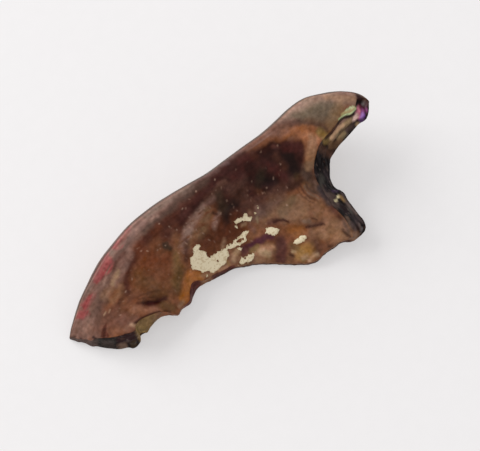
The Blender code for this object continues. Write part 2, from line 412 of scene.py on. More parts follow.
# Broad fields of colour over the enamel, from the root end to the beak.
FIELDS = (
    Stroke("pale root end", Tint.PALE_EDGE, 0.55, 0.5, 0.9, ((-14.3, 1.7), (-13.5, 1.6))),
    Stroke("mauve root edge", Tint.MAUVE, 0.3, 0.3, 0.8, ((-14.1, 1.1), (-13.6, 0.6), (-13.2, 0.2))),
    Stroke("mauve root band", Tint.MAUVE, 0.35, 0.35, 0.8, ((-12.8, 1.5), (-13.0, 0.8), (-13.1, 0.2))),
    Stroke("root end brown", Tint.MAUVE_BROWN, 0.9, 0.6, 0.9, ((-12.4, 0.7), (-11.4, 0.3), (-10.8, -0.6))),
    Stroke(
        "inner sheen", Tint.MAUVE, 0.65, 0.5, 0.9,
        ((-12.7, 2.0), (-10.6, 2.9), (-8.7, 3.6), (-5.1, 4.1), (-1.8, 4.0)),
    ),
    Stroke(
        "outer sheen", Tint.ROSE_GREY, 0.5, 0.3, 0.9,
        (
            (-14.3, 1.8), (-12.8, 2.6), (-11.2, 3.4), (-9.8, 3.9), (-8.2, 4.2), (-6.3, 4.6), (-2.9, 4.6),
            (-1.1, 4.4),
        ),
    ),
    Stroke("beak olive", Tint.BEAK_OLIVE, 1.0, 0.6, 1.0, ((8.8, 4.3), (10.3, 3.9), (11.7, 3.0))),
    Stroke("beak tan rim", Tint.RIM_TAN, 0.36, 0.4, 0.9, ((9.7, 4.6), (11.4, 4.2), (12.8, 3.4), (13.8, 2.5))),
    Stroke("beak rim light", Tint.RIM_LIGHT, 0.22, 0.25, 0.8, ((12.2, 3.7), (13.1, 3.05), (13.7, 2.5))),
    Stroke("beak tan inside", Tint.RIM_SAND, 0.4, 0.3, 0.6, ((12.7, 2.6), (11.8, 2.2), (11.1, 1.9))),
    Stroke("crest tan", Tint.ROSE_GREY, 0.42, 0.4, 0.7, ((6.9, 4.1), (7.7, 4.1), (8.7, 3.8))),
    Stroke("pale crest", Tint.PALE_EDGE, 0.24, 0.26, 0.8, ((8.2, 4.5), (9.4, 4.7), (10.2, 4.7))),
    # Painted sheen: a mauve-grey line along the limb of the crest.
    Stroke("grey sheen line on the crest", Tint.CREST_MAUVE, 0.26, 0.34, 0.8, ((-0.6, 4.4), (2.2, 4.3), (4.0, 4.3))),
    Stroke("left of trough", Tint.MAHOGANY_WARM, 0.7, 0.5, 0.9, ((-4.4, 2.7), (-3.2, 2.8), (-2.0, 3.0))),
    Stroke("trough", Tint.MAHOGANY, 0.9, 0.5, 1.0, ((-1.6, 3.3), (0.3, 3.4), (2.3, 3.5), (4.0, 3.1))),
    Stroke("trough by the beak", Tint.MAHOGANY, 1.05, 0.4, 1.0, ((3.9, 2.9), (5.7, 2.5), (7.2, 1.8))),
    Stroke("trough foot", Tint.MAHOGANY, 0.7, 0.5, 1.0, ((2.8, 2.4), (4.2, 1.8), (5.7, 0.9))),
    Stroke("dark slope", Tint.MAROON, 0.8, 0.55, 0.9, ((0.7, 2.5), (1.5, 1.5), (0.3, 0.9))),
    Stroke("reddish brown", Tint.RUST, 0.7, 0.5, 0.9, ((-2.1, 0.7), (-1.3, 0.7), (0.7, 0.7))),
    Stroke("flange shoulder", Tint.UMBER_DARK, 0.7, 0.5, 0.9, ((2.0, 2.1), (2.5, 1.0), (3.2, 0.4))),
    Stroke("plateau", Tint.SAND_DULL, 0.9, 0.6, 0.95, ((4.2, -0.2), (5.0, -1.0), (6.2, -2.2), (7.0, -3.8))),
    Stroke("plateau foot", Tint.TAN, 0.5, 0.5, 0.7, ((2.6, -0.4), (4.1, -0.9), (5.2, -2.0))),
    Stroke("plateau mauve", Tint.MAUVE, 0.4, 0.4, 0.7, ((3.1, 0.2), (3.8, 0.2), (4.8, 0.1))),
    Stroke("plateau olive", Tint.GREY_OLIVE, 0.4, 0.4, 0.7, ((4.2, -0.9), (4.9, -0.6), (5.5, -0.7))),
    Stroke("lobe tan", Tint.SAND, 0.7, 0.5, 0.9, ((5.3, -3.9), (6.4, -4.6), (7.2, -5.2))),
    Stroke("flange foot", Tint.SAND_DULL, 0.65, 0.5, 0.8, ((-0.5, -1.4), (1.1, -2.2), (2.7, -3.7))),
    Stroke("flange right", Tint.UMBER, 0.55, 0.4, 0.8, ((5.0, -4.3), (5.4, -4.9))),
    # Painted sheen: a pale olive-grey strip along the limb of the ridge.
    Stroke("grey sheen on the limb", Tint.OLIVE_GREY, 0.24, 0.25, 0.6, ((-5.0, 4.7), (-2.2, 4.5), (-0.8, 4.4))),
    Stroke(
        "notch shade", Tint.SMOKE_BROWN, 0.55, 0.45, 0.9,
        ((6.6, 1.0), (7.3, 0.4), (7.4, -0.4), (7.2, -1.0)),
    ),
)

# Streaks that run with the ridge.
STREAKS = (
    Stroke(
        "dark streak", Tint.MAHOGANY_WARM, 0.36, 0.3, 0.95,
        ((-9.7, 1.3), (-9.2, 1.9), (-8.4, 2.5), (-5.7, 3.3), (-3.8, 3.3), (-2.0, 3.4), (0.2, 3.3)),
    ),
    Stroke("dark streak foot", Tint.UMBER_DARK, 0.24, 0.24, 0.7, ((-9.7, 1.3), (-10.3, 1.1), (-10.7, 0.8))),
    Stroke(
        "maroon flow", Tint.MAROON, 0.3, 0.3, 0.8,
        ((-3.1, 2.7), (-2.1, 3.0), (-0.9, 3.2), (0.4, 3.5), (2.0, 3.7)),
    ),
    Stroke(
        "mauve streak", Tint.MAUVE_DARK, 0.24, 0.24, 0.8,
        ((-10.3, 3.2), (-9.2, 3.6), (-8.2, 3.8), (-7.0, 3.9)),
    ),
    Stroke("grey streak", Tint.MAUVE_DARK, 0.32, 0.32, 0.7, ((-12.5, 1.2), (-11.8, 2.0), (-11.3, 1.9))),
    Stroke(
        "pink band", Tint.ROSE_GREY, 0.3, 0.22, 0.8,
        ((-7.7, 3.1), (-8.4, 2.9), (-9.1, 2.6), (-10.0, 2.2)),
    ),
    Stroke("pale streak", Tint.PALE_TAN, 0.16, 0.16, 0.95, ((-9.2, 2.75), (-9.7, 2.6), (-10.2, 2.4))),
    Stroke(
        "shade above the pale streak", Tint.SLOPE_BROWN, 0.2, 0.18, 1.0,
        ((-9.3, 3.1), (-8.9, 3.3), (-8.2, 3.5)),
    ),
    Stroke("low pale streak", Tint.TAN, 0.24, 0.24, 0.6, ((-11.2, 2.1), (-10.5, 2.1))),
    Stroke("thin pale streak", Tint.PALE_EDGE, 0.1, 0.12, 0.7, ((-10.7, 2.8), (-10.1, 3.1), (-9.6, 3.3))),
    Stroke(
        "dull band", Tint.SMOKE_BROWN, 0.32, 0.32, 0.8,
        ((-5.9, 3.9), (-3.6, 3.9), (-2.2, 4.0), (0.2, 4.0)),
    ),
    Stroke("ochre line", Tint.AMBER_DULL, 0.32, 0.32, 0.6, ((-4.1, 2.0), (-4.6, 1.2), (-4.9, 0.5))),
    Stroke("red mottle", Tint.RUST_RED, 0.5, 0.45, 0.6, ((-7.0, 2.7), (-6.5, 2.0), (-6.2, 1.3), (-5.8, 1.3))),
    Stroke("field red", Tint.RUST_RED, 0.35, 0.35, 0.4, ((-7.3, 1.8), (-7.3, 1.3), (-7.1, 0.6))),
    Stroke("olive mottle", Tint.OLIVE_DULL, 0.5, 0.45, 0.4, ((-8.2, 1.3), (-7.7, 0.5), (-7.3, -0.3))),
    Stroke("yellow field", Tint.OLIVE_YELLOW, 0.3, 0.3, 0.4, ((-4.8, 1.2), (-5.1, 0.6), (-6.2, -0.3))),
)

# The broken pale streak in the middle of the slope.
PALE_STREAKS = (
    Stroke(
        "tan streak head", Tint.MAUVE_BROWN, 0.22, 0.26, 0.75,
        ((1.5, 3.1), (0.5, 2.9), (-0.1, 2.8), (-0.9, 2.6)),
    ),
    Stroke(
        "tan streak", Tint.PALE_EDGE, 0.22, 0.24, 0.95,
        ((-1.0, 2.6), (-1.7, 2.45), (-2.4, 2.25), (-3.2, 1.9)),
    ),
    Stroke("tan streak foot", Tint.PALE_EDGE, 0.26, 0.28, 0.8, ((-3.0, 1.9), (-3.5, 1.7), (-4.0, 1.3))),
    Stroke("olive in the streak", Tint.OLIVE_PALE, 0.34, 0.3, 0.9, ((-0.9, 2.1), (-1.7, 1.8), (-2.3, 1.5))),
    Stroke("second tan streak", Tint.PALE_EDGE, 0.13, 0.14, 0.85, ((-0.1, 1.75), (-0.5, 1.5), (-1.1, 1.25))),
    Stroke("low tan streak", Tint.SAND, 0.16, 0.18, 0.5, ((-2.6, 1.6), (-3.1, 1.6), (-3.5, 1.2))),
)

# Red stain in slanted patches along the ridge.
RED_STAINS = (
    Patch(
        "first red stain", Tint.RED, 0.14, 0.85,
        (
            (-6.4, 4.9), (-7.6, 5.1), (-8.2, 5.0), (-8.6, 4.7), (-8.5, 4.2), (-8.0, 3.98), (-7.4, 4.08),
            (-7.0, 4.4),
        ),
    ),
    Patch(
        "second red stain", Tint.RED, 0.14, 0.85,
        (
            (-8.9, 4.7), (-9.4, 4.7), (-11.0, 4.1), (-11.2, 3.5), (-11.0, 3.15), (-9.8, 3.15),
            (-9.15, 3.5), (-8.9, 4.0),
        ),
    ),
    Patch(
        "third red stain", Tint.RED, 0.14, 0.85,
        ((-11.45, 2.8), (-12.0, 3.0), (-12.9, 2.9), (-12.9, 2.45), (-12.4, 2.35), (-11.75, 2.45)),
    ),
    Patch(
        "fourth red stain", Tint.RED, 0.14, 0.85,
        ((-12.6, 2.25), (-13.1, 2.6), (-13.5, 2.6), (-13.8, 2.35), (-13.4, 1.9), (-12.75, 1.9)),
    ),
    Stroke("grey gap", Tint.OLIVE_GREY, 0.16, 0.16, 0.6, ((-8.6, 4.2), (-8.9, 4.1))),
    Stroke("second grey gap", Tint.OLIVE_GREY, 0.16, 0.16, 0.6, ((-11.7, 3.4), (-12.3, 3.3))),
    Stroke(
        "shade on the ridge edge", Tint.VIOLET_BROWN, 0.2, 0.2, 0.5,
        ((-8.3, 4.75), (-8.9, 4.5), (-10.2, 4.12), (-11.7, 3.55), (-12.5, 3.12)),
    ),
)

# Dark clouds and glows in the trough beside the crest.
TROUGH_CLOUDS = (
    Stroke("black by the streak", Tint.NIGHT, 0.3, 0.34, 0.85, ((0.35, 2.0), (0.25, 1.6), (0.15, 1.2))),
    Stroke("black right of it", Tint.NIGHT, 0.26, 0.3, 0.8, ((0.6, 1.7), (1.5, 1.7))),
    Stroke("olive blotch", Tint.OLIVE_SHADE, 0.36, 0.36, 0.85, ((0.5, 2.6), (0.4, 2.3), (0.3, 2.0))),
    Stroke("slope brown", Tint.SLOPE_BROWN, 0.3, 0.3, 0.75, ((1.5, 2.6), (2.2, 2.5), (2.8, 2.5))),
    Stroke("low slope brown", Tint.SLOPE_BROWN, 0.34, 0.34, 0.75, ((2.3, 1.7), (2.4, 1.2), (1.9, 1.1))),
    Stroke("black in the middle", Tint.NIGHT, 0.36, 0.3, 0.9, ((4.3, 1.8), (4.6, 1.4), (4.9, 1.1))),
    Stroke("olive column", Tint.OLIVE_DARK, 0.26, 0.26, 0.6, ((4.6, 2.4), (4.1, 2.0), (3.7, 1.7))),
    Stroke("black by the beak", Tint.NIGHT, 0.44, 0.32, 0.9, ((7.0, 2.1), (6.8, 0.9))),
    Stroke("top glow", Tint.MAROON_RED, 0.34, 0.34, 0.5, ((3.4, 3.6), (4.2, 3.4), (4.8, 2.7))),
    Stroke("first glow", Tint.MAROON_RED, 0.32, 0.3, 0.6, ((2.1, 3.1), (2.9, 2.9))),
    Stroke("second glow", Tint.MAROON_RED, 0.32, 0.24, 0.8, ((5.3, 2.2), (5.6, 1.8), (5.8, 1.2))),
    Stroke("glow under the cap", Tint.MAROON_RED, 0.36, 0.2, 0.7, ((7.2, 2.7), (8.1, 2.1))),
    Stroke("low glow", Tint.MAROON_RED, 0.24, 0.2, 0.5, ((5.3, 0.8), (5.8, 0.7))),
    Stroke("rust spot", Tint.RUST_DARK, 0.22, 0.2, 0.8, ((2.3, 2.1), (1.7, 1.9))),
    Stroke("brown blotch", Tint.UMBER_DARK, 0.24, 0.24, 0.5, ((4.5, 3.5), (4.6, 3.1))),
    Stroke("second brown blotch", Tint.UMBER_DARK, 0.26, 0.24, 0.6, ((6.2, 2.5), (6.2, 1.6))),
    Stroke("maroon knot", Tint.MAROON, 0.24, 0.16, 0.8, ((2.8, 1.6), (3.1, 1.2))),
    Stroke(
        "brown by the plateau", Tint.SLOPE_BROWN, 0.34, 0.36, 0.8,
        ((3.1, 0.9), (4.2, 0.9), (5.5, 0.6), (6.1, 0.3)),
    ),
    Stroke("plum shade", Tint.PLUM, 0.24, 0.24, 0.6, ((3.9, 1.5), (4.7, 1.2))),
    Stroke("olive by the notch", Tint.OLIVE_DULL, 0.24, 0.26, 0.5, ((6.7, 0.4), (6.8, -0.1), (6.8, -0.6))),
    Stroke("dark by the notch", Tint.RUST_DARK, 0.3, 0.22, 0.9, ((5.9, 0.2), (6.4, 0.1), (6.8, 0.15))),
    Stroke("dark under the crest", Tint.MAHOGANY, 0.14, 0.16, 0.75, ((1.3, 3.5), (1.6, 3.25), (1.75, 3.05))),
    Stroke("dark above the plateau", Tint.MAHOGANY, 0.18, 0.18, 0.85, ((4.0, 1.3), (4.3, 1.05))),
    Stroke("mauve light", Tint.PALE_EDGE, 0.16, 0.2, 0.75, ((2.8, 0.55), (2.7, 0.2), (2.4, 0.1))),
    Stroke("tan by the flake", Tint.PALE_TAN, 0.14, 0.16, 0.9, ((1.05, 0.22), (1.25, 0.15))),
    Stroke("tan above the flake", Tint.TAN, 0.12, 0.16, 0.7, ((2.1, 0.65), (2.0, 0.5))),
    Stroke("olive light", Tint.PALE_TAN, 0.14, 0.16, 0.75, ((-1.2, 0.0), (-0.8, 0.15))),
    Stroke("brown in the cap", Tint.MAROON_TAN, 0.16, 0.14, 0.8, ((6.6, 2.98), (6.3, 3.15))),
    Stroke("light over the cap", Tint.PINK_TAN, 0.1, 0.12, 0.6, ((7.75, 2.9), (8.0, 2.85))),
    Stroke("grey under the crest", Tint.CREST_MAUVE, 0.14, 0.18, 0.7, ((2.0, 4.35), (2.5, 4.2))),
    Stroke("light in the root half", Tint.RUST_RED, 0.2, 0.24, 0.6, ((-5.4, 3.15), (-4.9, 3.3))),
    Stroke("light in the band", Tint.PALE_EDGE, 0.14, 0.18, 0.55, ((-8.9, 2.6), (-8.4, 2.75))),
    Stroke("sheen on the crest", Tint.PALE_EDGE, 0.14, 0.18, 0.7, ((-5.0, 4.05), (-4.4, 4.15))),
    Stroke("red under the crest", Tint.MAROON_TAN, 0.16, 0.2, 0.7, ((-2.8, 2.85), (-2.1, 3.0))),
    Stroke("pale above the olive", Tint.ROSE_GREY, 0.14, 0.18, 0.6, ((-0.6, 2.6), (0.0, 2.65))),
    Stroke("dark in the streaks", Tint.RUST_DARK, 0.1, 0.12, 0.8, ((-0.5, 1.95), (-0.35, 1.7))),
    Stroke("grey in the root half", Tint.SAND, 0.22, 0.24, 0.65, ((-9.8, 1.85), (-10.2, 1.5), (-10.9, 1.5))),
    Stroke("dark over the lip", Tint.UMBER_DARK, 0.2, 0.24, 0.6, ((-10.0, 0.7), (-9.4, 0.8))),
)

# Mottles, stains and cracks on the flange and the lobe.
FLANGE_MARKS = (
    Stroke("dull amber", Tint.AMBER_DULL, 0.34, 0.26, 0.7, ((1.5, -0.9), (1.0, -0.8))),
    Stroke("maroon column", Tint.MAROON_TAN, 0.44, 0.2, 0.95, ((2.7, -2.4), (2.5, -2.8), (2.1, -3.3))),
    Stroke("dark in the column", Tint.MAROON, 0.16, 0.2, 0.4, ((2.7, -2.3), (2.7, -2.5))),
    Stroke("violet by the crust", Tint.VIOLET, 0.24, 0.14, 0.95, ((0.1, -1.1), (0.7, -1.2), (1.2, -1.3))),
    Stroke("second violet", Tint.VIOLET, 0.22, 0.14, 0.9, ((1.4, -1.4), (2.0, -1.5), (2.3, -1.8))),
    Stroke("violet end", Tint.MAROON_TAN, 0.2, 0.14, 0.9, ((-0.2, -1.3), (0.3, -1.2))),
    Stroke("dull peach", Tint.SAND, 0.4, 0.24, 0.9, ((0.8, -1.9), (1.4, -2.4))),
    Stroke("peach", Tint.PEACH, 0.2, 0.16, 0.9, ((0.7, -1.65), (1.3, -1.9), (1.9, -2.3))),
    Stroke("cream streak", Tint.STEP_TAN, 0.1, 0.12, 0.9, ((1.0, -1.9), (1.6, -2.5))),
    Stroke("light in the peach", Tint.LEDGE_TAN, 0.09, 0.1, 0.9, ((1.1, -1.95), (1.3, -2.03))),
    Stroke("olive by the peach", Tint.OLIVE_YELLOW, 0.16, 0.14, 0.7, ((0.5, -1.5), (1.0, -1.6))),
    Stroke("amber", Tint.AMBER_BROWN, 0.34, 0.26, 0.8, ((3.9, -2.2), (4.2, -2.7), (4.5, -2.8))),
    Stroke("ochre", Tint.OCHRE, 0.44, 0.3, 0.9, ((3.6, -3.9), (4.0, -4.1), (4.3, -4.4))),
    Stroke("bright ochre", Tint.OLIVE_YELLOW, 0.2, 0.2, 0.8, ((3.5, -4.4), (3.8, -4.5))),
    Stroke("light in the ochre", Tint.LEDGE_TAN, 0.14, 0.16, 0.6, ((3.6, -4.3), (3.85, -4.4))),
    Stroke("tan by the ochre", Tint.OLIVE_TAN, 0.24, 0.24, 0.7, ((3.5, -3.5), (3.2, -3.2))),
    Stroke("cream dash", Tint.STEP_TAN, 0.07, 0.07, 0.9, ((3.0, -3.5), (3.25, -3.65))),
    Stroke("shade under the dash", Tint.RUST_DARK, 0.08, 0.08, 0.8, ((2.8, -3.5), (3.05, -3.75))),
    Stroke("grey knot", Tint.GREY_TAN, 0.16, 0.12, 0.9, ((5.0, -2.4), (5.4, -2.7))),
    Stroke("mauve spot", Tint.MAUVE, 0.4, 0.34, 0.7, ((1.9, 0.1), (2.8, 0.1))),
    Stroke("green fleck", Tint.STEP_OLIVE, 0.08, 0.1, 0.6, ((2.3, -0.05), (2.15, -0.35))),
    Stroke("mauve by the crust", Tint.ROSE_GREY, 0.16, 0.2, 0.6, ((1.4, -0.2), (1.5, -0.6))),
    Stroke("lobe mauve", Tint.MAUVE_DARK, 0.34, 0.32, 0.6, ((4.9, -4.3), (4.7, -4.7))),
    Stroke("lobe peach", Tint.PEACH, 0.26, 0.3, 0.75, ((5.8, -4.1), (6.2, -4.5), (6.8, -4.9))),
    Stroke("crack halo", Tint.MAROON_TAN, 0.24, 0.2, 0.7, ((2.9, -0.85), (3.4, -1.0))),
    Stroke(
        "long crack", Tint.MAROON, 0.08, 0.08, 0.95,
        ((3.2, -0.95), (3.6, -1.05), (3.9, -1.3), (4.1, -1.6)),
    ),
    Stroke("shade on the long crack", Tint.RUST_DARK, 0.1, 0.14, 0.6, ((3.5, -0.95), (3.9, -1.25))),
    Stroke("lobe crack halo", Tint.SLOPE_BROWN, 0.17, 0.16, 0.8, ((5.3, -3.0), (5.7, -3.2), (6.1, -3.4))),
    Stroke(
        "lobe crack", Tint.RUST_DARK, 0.07, 0.08, 0.95,
        ((5.0, -2.85), (5.4, -3.1), (5.8, -3.3), (6.2, -3.6)),
    ),
    Stroke("lobe crack branch", Tint.RUST_DARK, 0.06, 0.08, 0.7, ((5.7, -2.65), (5.95, -3.0))),
    Stroke("corner crack", Tint.RUST_DARK, 0.09, 0.1, 0.8, ((7.2, -4.8), (7.3, -5.2), (7.4, -5.5))),
    Stroke(
        "first foot line", Tint.RUST_DARK, 0.06, 0.08, 0.7,
        ((6.5, -0.2), (6.4, -0.8), (6.5, -1.3), (6.8, -1.9)),
    ),
    Stroke(
        "second foot line", Tint.SMOKE_BROWN, 0.07, 0.08, 0.8,
        ((6.9, -0.4), (6.8, -0.8), (7.0, -1.4), (7.3, -2.0)),
    ),
    Stroke(
        "third foot line", Tint.RUST_DARK, 0.05, 0.08, 0.5,
        ((6.2, -0.2), (6.1, -0.9), (6.3, -1.4), (6.5, -1.8)),
    ),
    Stroke(
        "pale foot line", Tint.OLIVE_GREY, 0.05, 0.08, 0.6,
        ((6.7, -0.4), (6.6, -0.9), (6.8, -1.5), (7.0, -1.9)),
    ),
    Stroke("pale by the notch", Tint.MAUVE, 0.12, 0.12, 0.5, ((7.45, -0.7), (7.25, -1.3))),
    Stroke(
        "slate by the lobe", Tint.LOBE_SLATE, 0.3, 0.22, 0.9,
        ((7.5, -1.4), (7.5, -1.9), (7.4, -2.6), (7.4, -3.2)),
    ),
    Stroke("dark by the slate", Tint.SLATE_DARK, 0.12, 0.14, 0.8, ((7.6, -1.1), (7.5, -1.7), (7.5, -2.3))),
    Stroke("rust dot", Tint.RUST_DARK, 0.1, 0.08, 0.6, ((5.7, -5.0), (5.9, -5.1))),
    Stroke("lobe edge grey", Tint.SLATE_BROWN, 0.14, 0.14, 0.6, ((7.45, -4.3), (7.5, -5.1))),
    Stroke("brown by the break", Tint.UMBER_DARK, 0.2, 0.18, 0.9, ((7.2, -3.15), (7.33, -3.6), (7.35, -4.1))),
    Stroke(
        "tan on the flange edge", Tint.LEDGE_TAN, 0.14, 0.14, 0.8,
        ((3.9, -4.85), (4.4, -4.75), (4.7, -4.85)),
    ),
)

# The orange collar where the beak meets the trough, and the pale strip beside the notch.
COLLAR = (
    Stroke("brown under the beak", Tint.MAUVE_BROWN, 0.34, 0.32, 0.8, ((7.0, 4.1), (8.0, 3.9), (8.9, 3.3))),
    Stroke(
        "line under the beak", Tint.MAUVE_DARK, 0.14, 0.18, 0.7,
        ((8.2, 4.1), (9.0, 3.7), (9.9, 2.9), (10.8, 1.9)),
    ),
    Stroke("collar left", Tint.AMBER_PINK, 0.24, 0.28, 0.75, ((7.6, 3.4), (8.3, 3.1), (9.2, 2.8))),
    Stroke("mauve on the collar", Tint.ROSE_GREY, 0.2, 0.24, 0.6, ((7.4, 3.5), (7.9, 3.45))),
    Stroke("collar", Tint.AMBER_PINK, 0.4, 0.3, 0.95, ((9.0, 2.5), (9.4, 2.1), (9.6, 1.9))),
    Stroke("collar right", Tint.AMBER_PINK, 0.14, 0.18, 0.5, ((9.3, 3.0), (9.8, 2.65), (10.0, 2.4))),
    Stroke("olive by the ledge", Tint.OLIVE_YELLOW, 0.32, 0.2, 1.0, ((10.15, 2.0), (10.45, 1.4))),
    Stroke("light in the olive", Tint.OCHRE, 0.18, 0.2, 0.55, ((10.15, 1.9), (10.4, 1.4))),
    Patch(
        "dark cap", Tint.MAHOGANY, 0.16, 0.95,
        (
            (5.6, 3.4), (6.3, 3.5), (6.8, 3.2), (7.2, 2.9), (7.5, 2.9), (7.8, 2.5), (8.2, 2.4), (8.5, 2.3),
            (8.5, 2.0),
            (8.2, 1.7), (7.8, 1.3), (7.3, 0.8), (6.7, 0.4), (6.0, 0.9), (5.4, 1.6),
        ),
    ),
    Stroke("strip end", Tint.SMOKE_BROWN, 0.34, 0.2, 0.9, ((7.8, 0.5), (7.3, 0.0))),
    Stroke("strip foot", Tint.TAN_BROWN, 0.36, 0.16, 0.95, ((8.3, 0.9), (7.9, 0.5))),
    Stroke("strip middle", Tint.STRIP_TAN, 0.38, 0.18, 0.95, ((8.9, 1.5), (8.4, 1.0))),
    Stroke("strip head", Tint.PEACH, 0.34, 0.2, 0.95, ((9.4, 2.0), (9.1, 1.7))),
)

# The slot, the pit, the amber toe and the fine lines of the root half.
ROOT_MARKS = (
    Stroke(
        "pink under the slot", Tint.PINK_TAN, 0.28, 0.24, 0.85,
        ((-9.9, -0.1), (-9.2, -0.6), (-8.4, -0.95)),
    ),
    Stroke("slot head", Tint.MAROON, 0.2, 0.16, 0.9, ((-7.9, -0.6), (-7.4, -0.7))),
    Stroke("slot tail", Tint.MAROON, 0.12, 0.12, 0.5, ((-9.4, 0.1), (-9.0, -0.15))),
    Stroke("slot halo", Tint.MAROON, 0.24, 0.22, 0.7, ((-9.0, -0.2), (-8.5, -0.5), (-8.0, -0.7))),
    Stroke("slot", Tint.SLOT_RED, 0.22, 0.15, 1.0, ((-8.65, -0.35), (-8.3, -0.5), (-7.85, -0.62))),
    Stroke("slot shade", Tint.OLIVE_DARK, 0.3, 0.26, 0.1, ((-8.9, 0.2), (-8.3, 0.0), (-7.6, -0.4))),
    Stroke("light over the slot", Tint.PINK_TAN, 0.16, 0.2, 0.55, ((-8.3, 0.35), (-7.7, 0.3))),
    Stroke(
        "first slot fold", Tint.RUST_DARK, 0.06, 0.1, 0.4,
        ((-9.2, 0.5), (-8.6, 0.4), (-8.0, 0.2), (-7.5, 0.0)),
    ),
    Stroke("second slot fold", Tint.RUST_DARK, 0.06, 0.1, 0.5, ((-9.2, 0.3), (-8.4, 0.0), (-7.8, -0.3))),
    Stroke("pit", Tint.GREEN_BLACK, 0.2, 0.15, 0.85, ((-5.2, 2.1), (-4.9, 1.8))),
    Stroke("pit rim", Tint.GREEN_BLACK, 0.1, 0.08, 0.6, ((-5.2, 2.3), (-4.9, 2.2))),
    Stroke("amber flank", Tint.AMBER, 0.36, 0.2, 0.95, ((-6.1, -1.4), (-5.4, -0.9), (-4.9, -0.5))),
    Stroke("amber toe", Tint.AMBER, 0.32, 0.16, 0.95, ((-4.5, -0.3), (-4.0, -0.7))),
    Stroke("olive shade", Tint.OLIVE_DULL, 0.32, 0.32, 0.7, ((-5.2, 0.2), (-6.2, -0.7))),
    Stroke("second olive shade", Tint.OLIVE_DULL, 0.32, 0.24, 0.7, ((-7.8, -1.1), (-7.4, -1.5))),
    Stroke("shade left of the crust", Tint.MAROON, 0.2, 0.2, 0.6, ((-3.5, 1.5), (-3.9, 1.1), (-4.3, 0.6))),
    Stroke(
        "maroon on the edge", Tint.MAROON_RED, 0.17, 0.14, 0.75,
        ((-2.9, -1.25), (-2.1, -1.38), (-1.5, -1.45)),
    ),
    Stroke(
        "tan under the crust", Tint.SAND, 0.13, 0.13, 0.85,
        ((-3.8, -0.7), (-3.2, -1.0), (-2.2, -1.08), (-1.1, -1.05)),
    ),
    Stroke("tan above the edge", Tint.PEACH, 0.11, 0.1, 0.9, ((-2.4, -1.13), (-1.7, -1.22))),
    Stroke("tan between the flakes", Tint.SAND, 0.2, 0.2, 0.8, ((-1.1, -0.75), (-0.5, -0.95), (-0.6, -1.3))),
    Stroke("pink by the edge", Tint.PINK_TAN, 0.16, 0.14, 0.8, ((-0.9, -0.5), (-1.2, -0.9), (-1.3, -1.2))),
    Stroke(
        "pale between the flakes", Tint.LEDGE_TAN, 0.15, 0.16, 0.75,
        ((-0.35, -0.9), (-0.8, -0.95), (-1.0, -1.2)),
    ),
    Stroke("orange by the flake", Tint.OCHRE, 0.1, 0.12, 0.55, ((-1.5, -0.9), (-1.5, -1.2))),
    Stroke("tan root edge", Tint.PALE_TAN, 0.12, 0.14, 0.7, ((-6.8, -1.7), (-6.3, -1.6))),
    Stroke(
        "lip shadow", Tint.RUST_DARK, 0.12, 0.09, 0.95,
        ((-10.5, -1.0), (-9.9, -1.0), (-9.1, -1.1), (-8.4, -1.3)),
    ),
    Stroke("lip shadow end", Tint.RUST_DARK, 0.1, 0.08, 0.6, ((-8.0, -1.4), (-7.7, -1.62))),
    Patch(
        "wedge crack", Tint.MAHOGANY_WARM, 0.06, 0.95,
        (
            (-13.15, 0.05), (-12.95, -0.4), (-12.6, -0.4), (-12.5, 0.05), (-12.2, 0.5), (-12.55, 0.45),
            (-12.85, 0.3),
        ),
    ),
    Stroke("dark root corner", Tint.BROWN_BLACK, 0.08, 0.1, 0.7, ((-14.9, 1.75), (-14.6, 1.5))),
    Stroke("first root nick", Tint.PLUM, 0.06, 0.07, 0.8, ((-14.35, 1.15), (-14.3, 1.0))),
    Stroke("second root nick", Tint.PLUM_BLACK, 0.09, 0.08, 0.9, ((-13.6, 0.45), (-13.5, 0.15))),
    Stroke("pink lip", Tint.PINK_TAN, 0.2, 0.26, 0.35, ((-12.2, -0.4), (-11.6, -0.65), (-11.0, -0.9))),
    Stroke("spur by the wedge", Tint.MAUVE_BROWN, 0.1, 0.08, 0.8, ((-12.45, 0.05), (-12.4, -0.5))),
    Stroke("lip highlight", Tint.PALE_TAN, 0.12, 0.14, 0.8, ((-10.8, -0.9), (-10.6, -1.2))),
    Stroke("scratch", Tint.PALE_TAN, 0.05, 0.05, 0.9, ((-12.0, 1.05), (-11.75, 1.12))),
    Stroke("second scratch", Tint.PALE_TAN, 0.045, 0.05, 0.8, ((-11.58, 0.93), (-11.38, 1.03))),
)

# The chip at the beak's tip, and the dark tip beyond it.
BEAK_MARKS = (
    Stroke("chip", Tint.CHIP_PALE, 0.12, 0.06, 1.0, ((12.45, 2.06), (13.0, 2.04), (13.5, 1.94))),
    Stroke(
        "pale edge of the chip", Tint.PALE_GREEN, 0.045, 0.04, 1.0,
        ((12.9, 2.15), (13.3, 2.12), (13.6, 1.98)),
    ),
    Stroke(
        "foot of the chip", Tint.PALE_GREEN, 0.055, 0.05, 1.0,
        ((12.05, 1.98), (12.35, 1.98), (12.6, 2.0)),
    ),
    Stroke("dark tip", Tint.PLUM, 0.3, 0.1, 0.95, ((14.65, 2.6), (14.4, 2.2), (14.32, 1.9))),
    Stroke("dark tip end", Tint.PLUM, 0.3, 0.12, 0.95, ((14.5, 2.3), (14.7, 1.8))),
    # Painted glint: a small grey highlight on the dark tip.
    Stroke("grey glint on the tip", Tint.GREY_GLINT, 0.06, 0.07, 0.9, ((14.2, 2.05), (14.4, 2.02), (14.6, 1.9))),
)

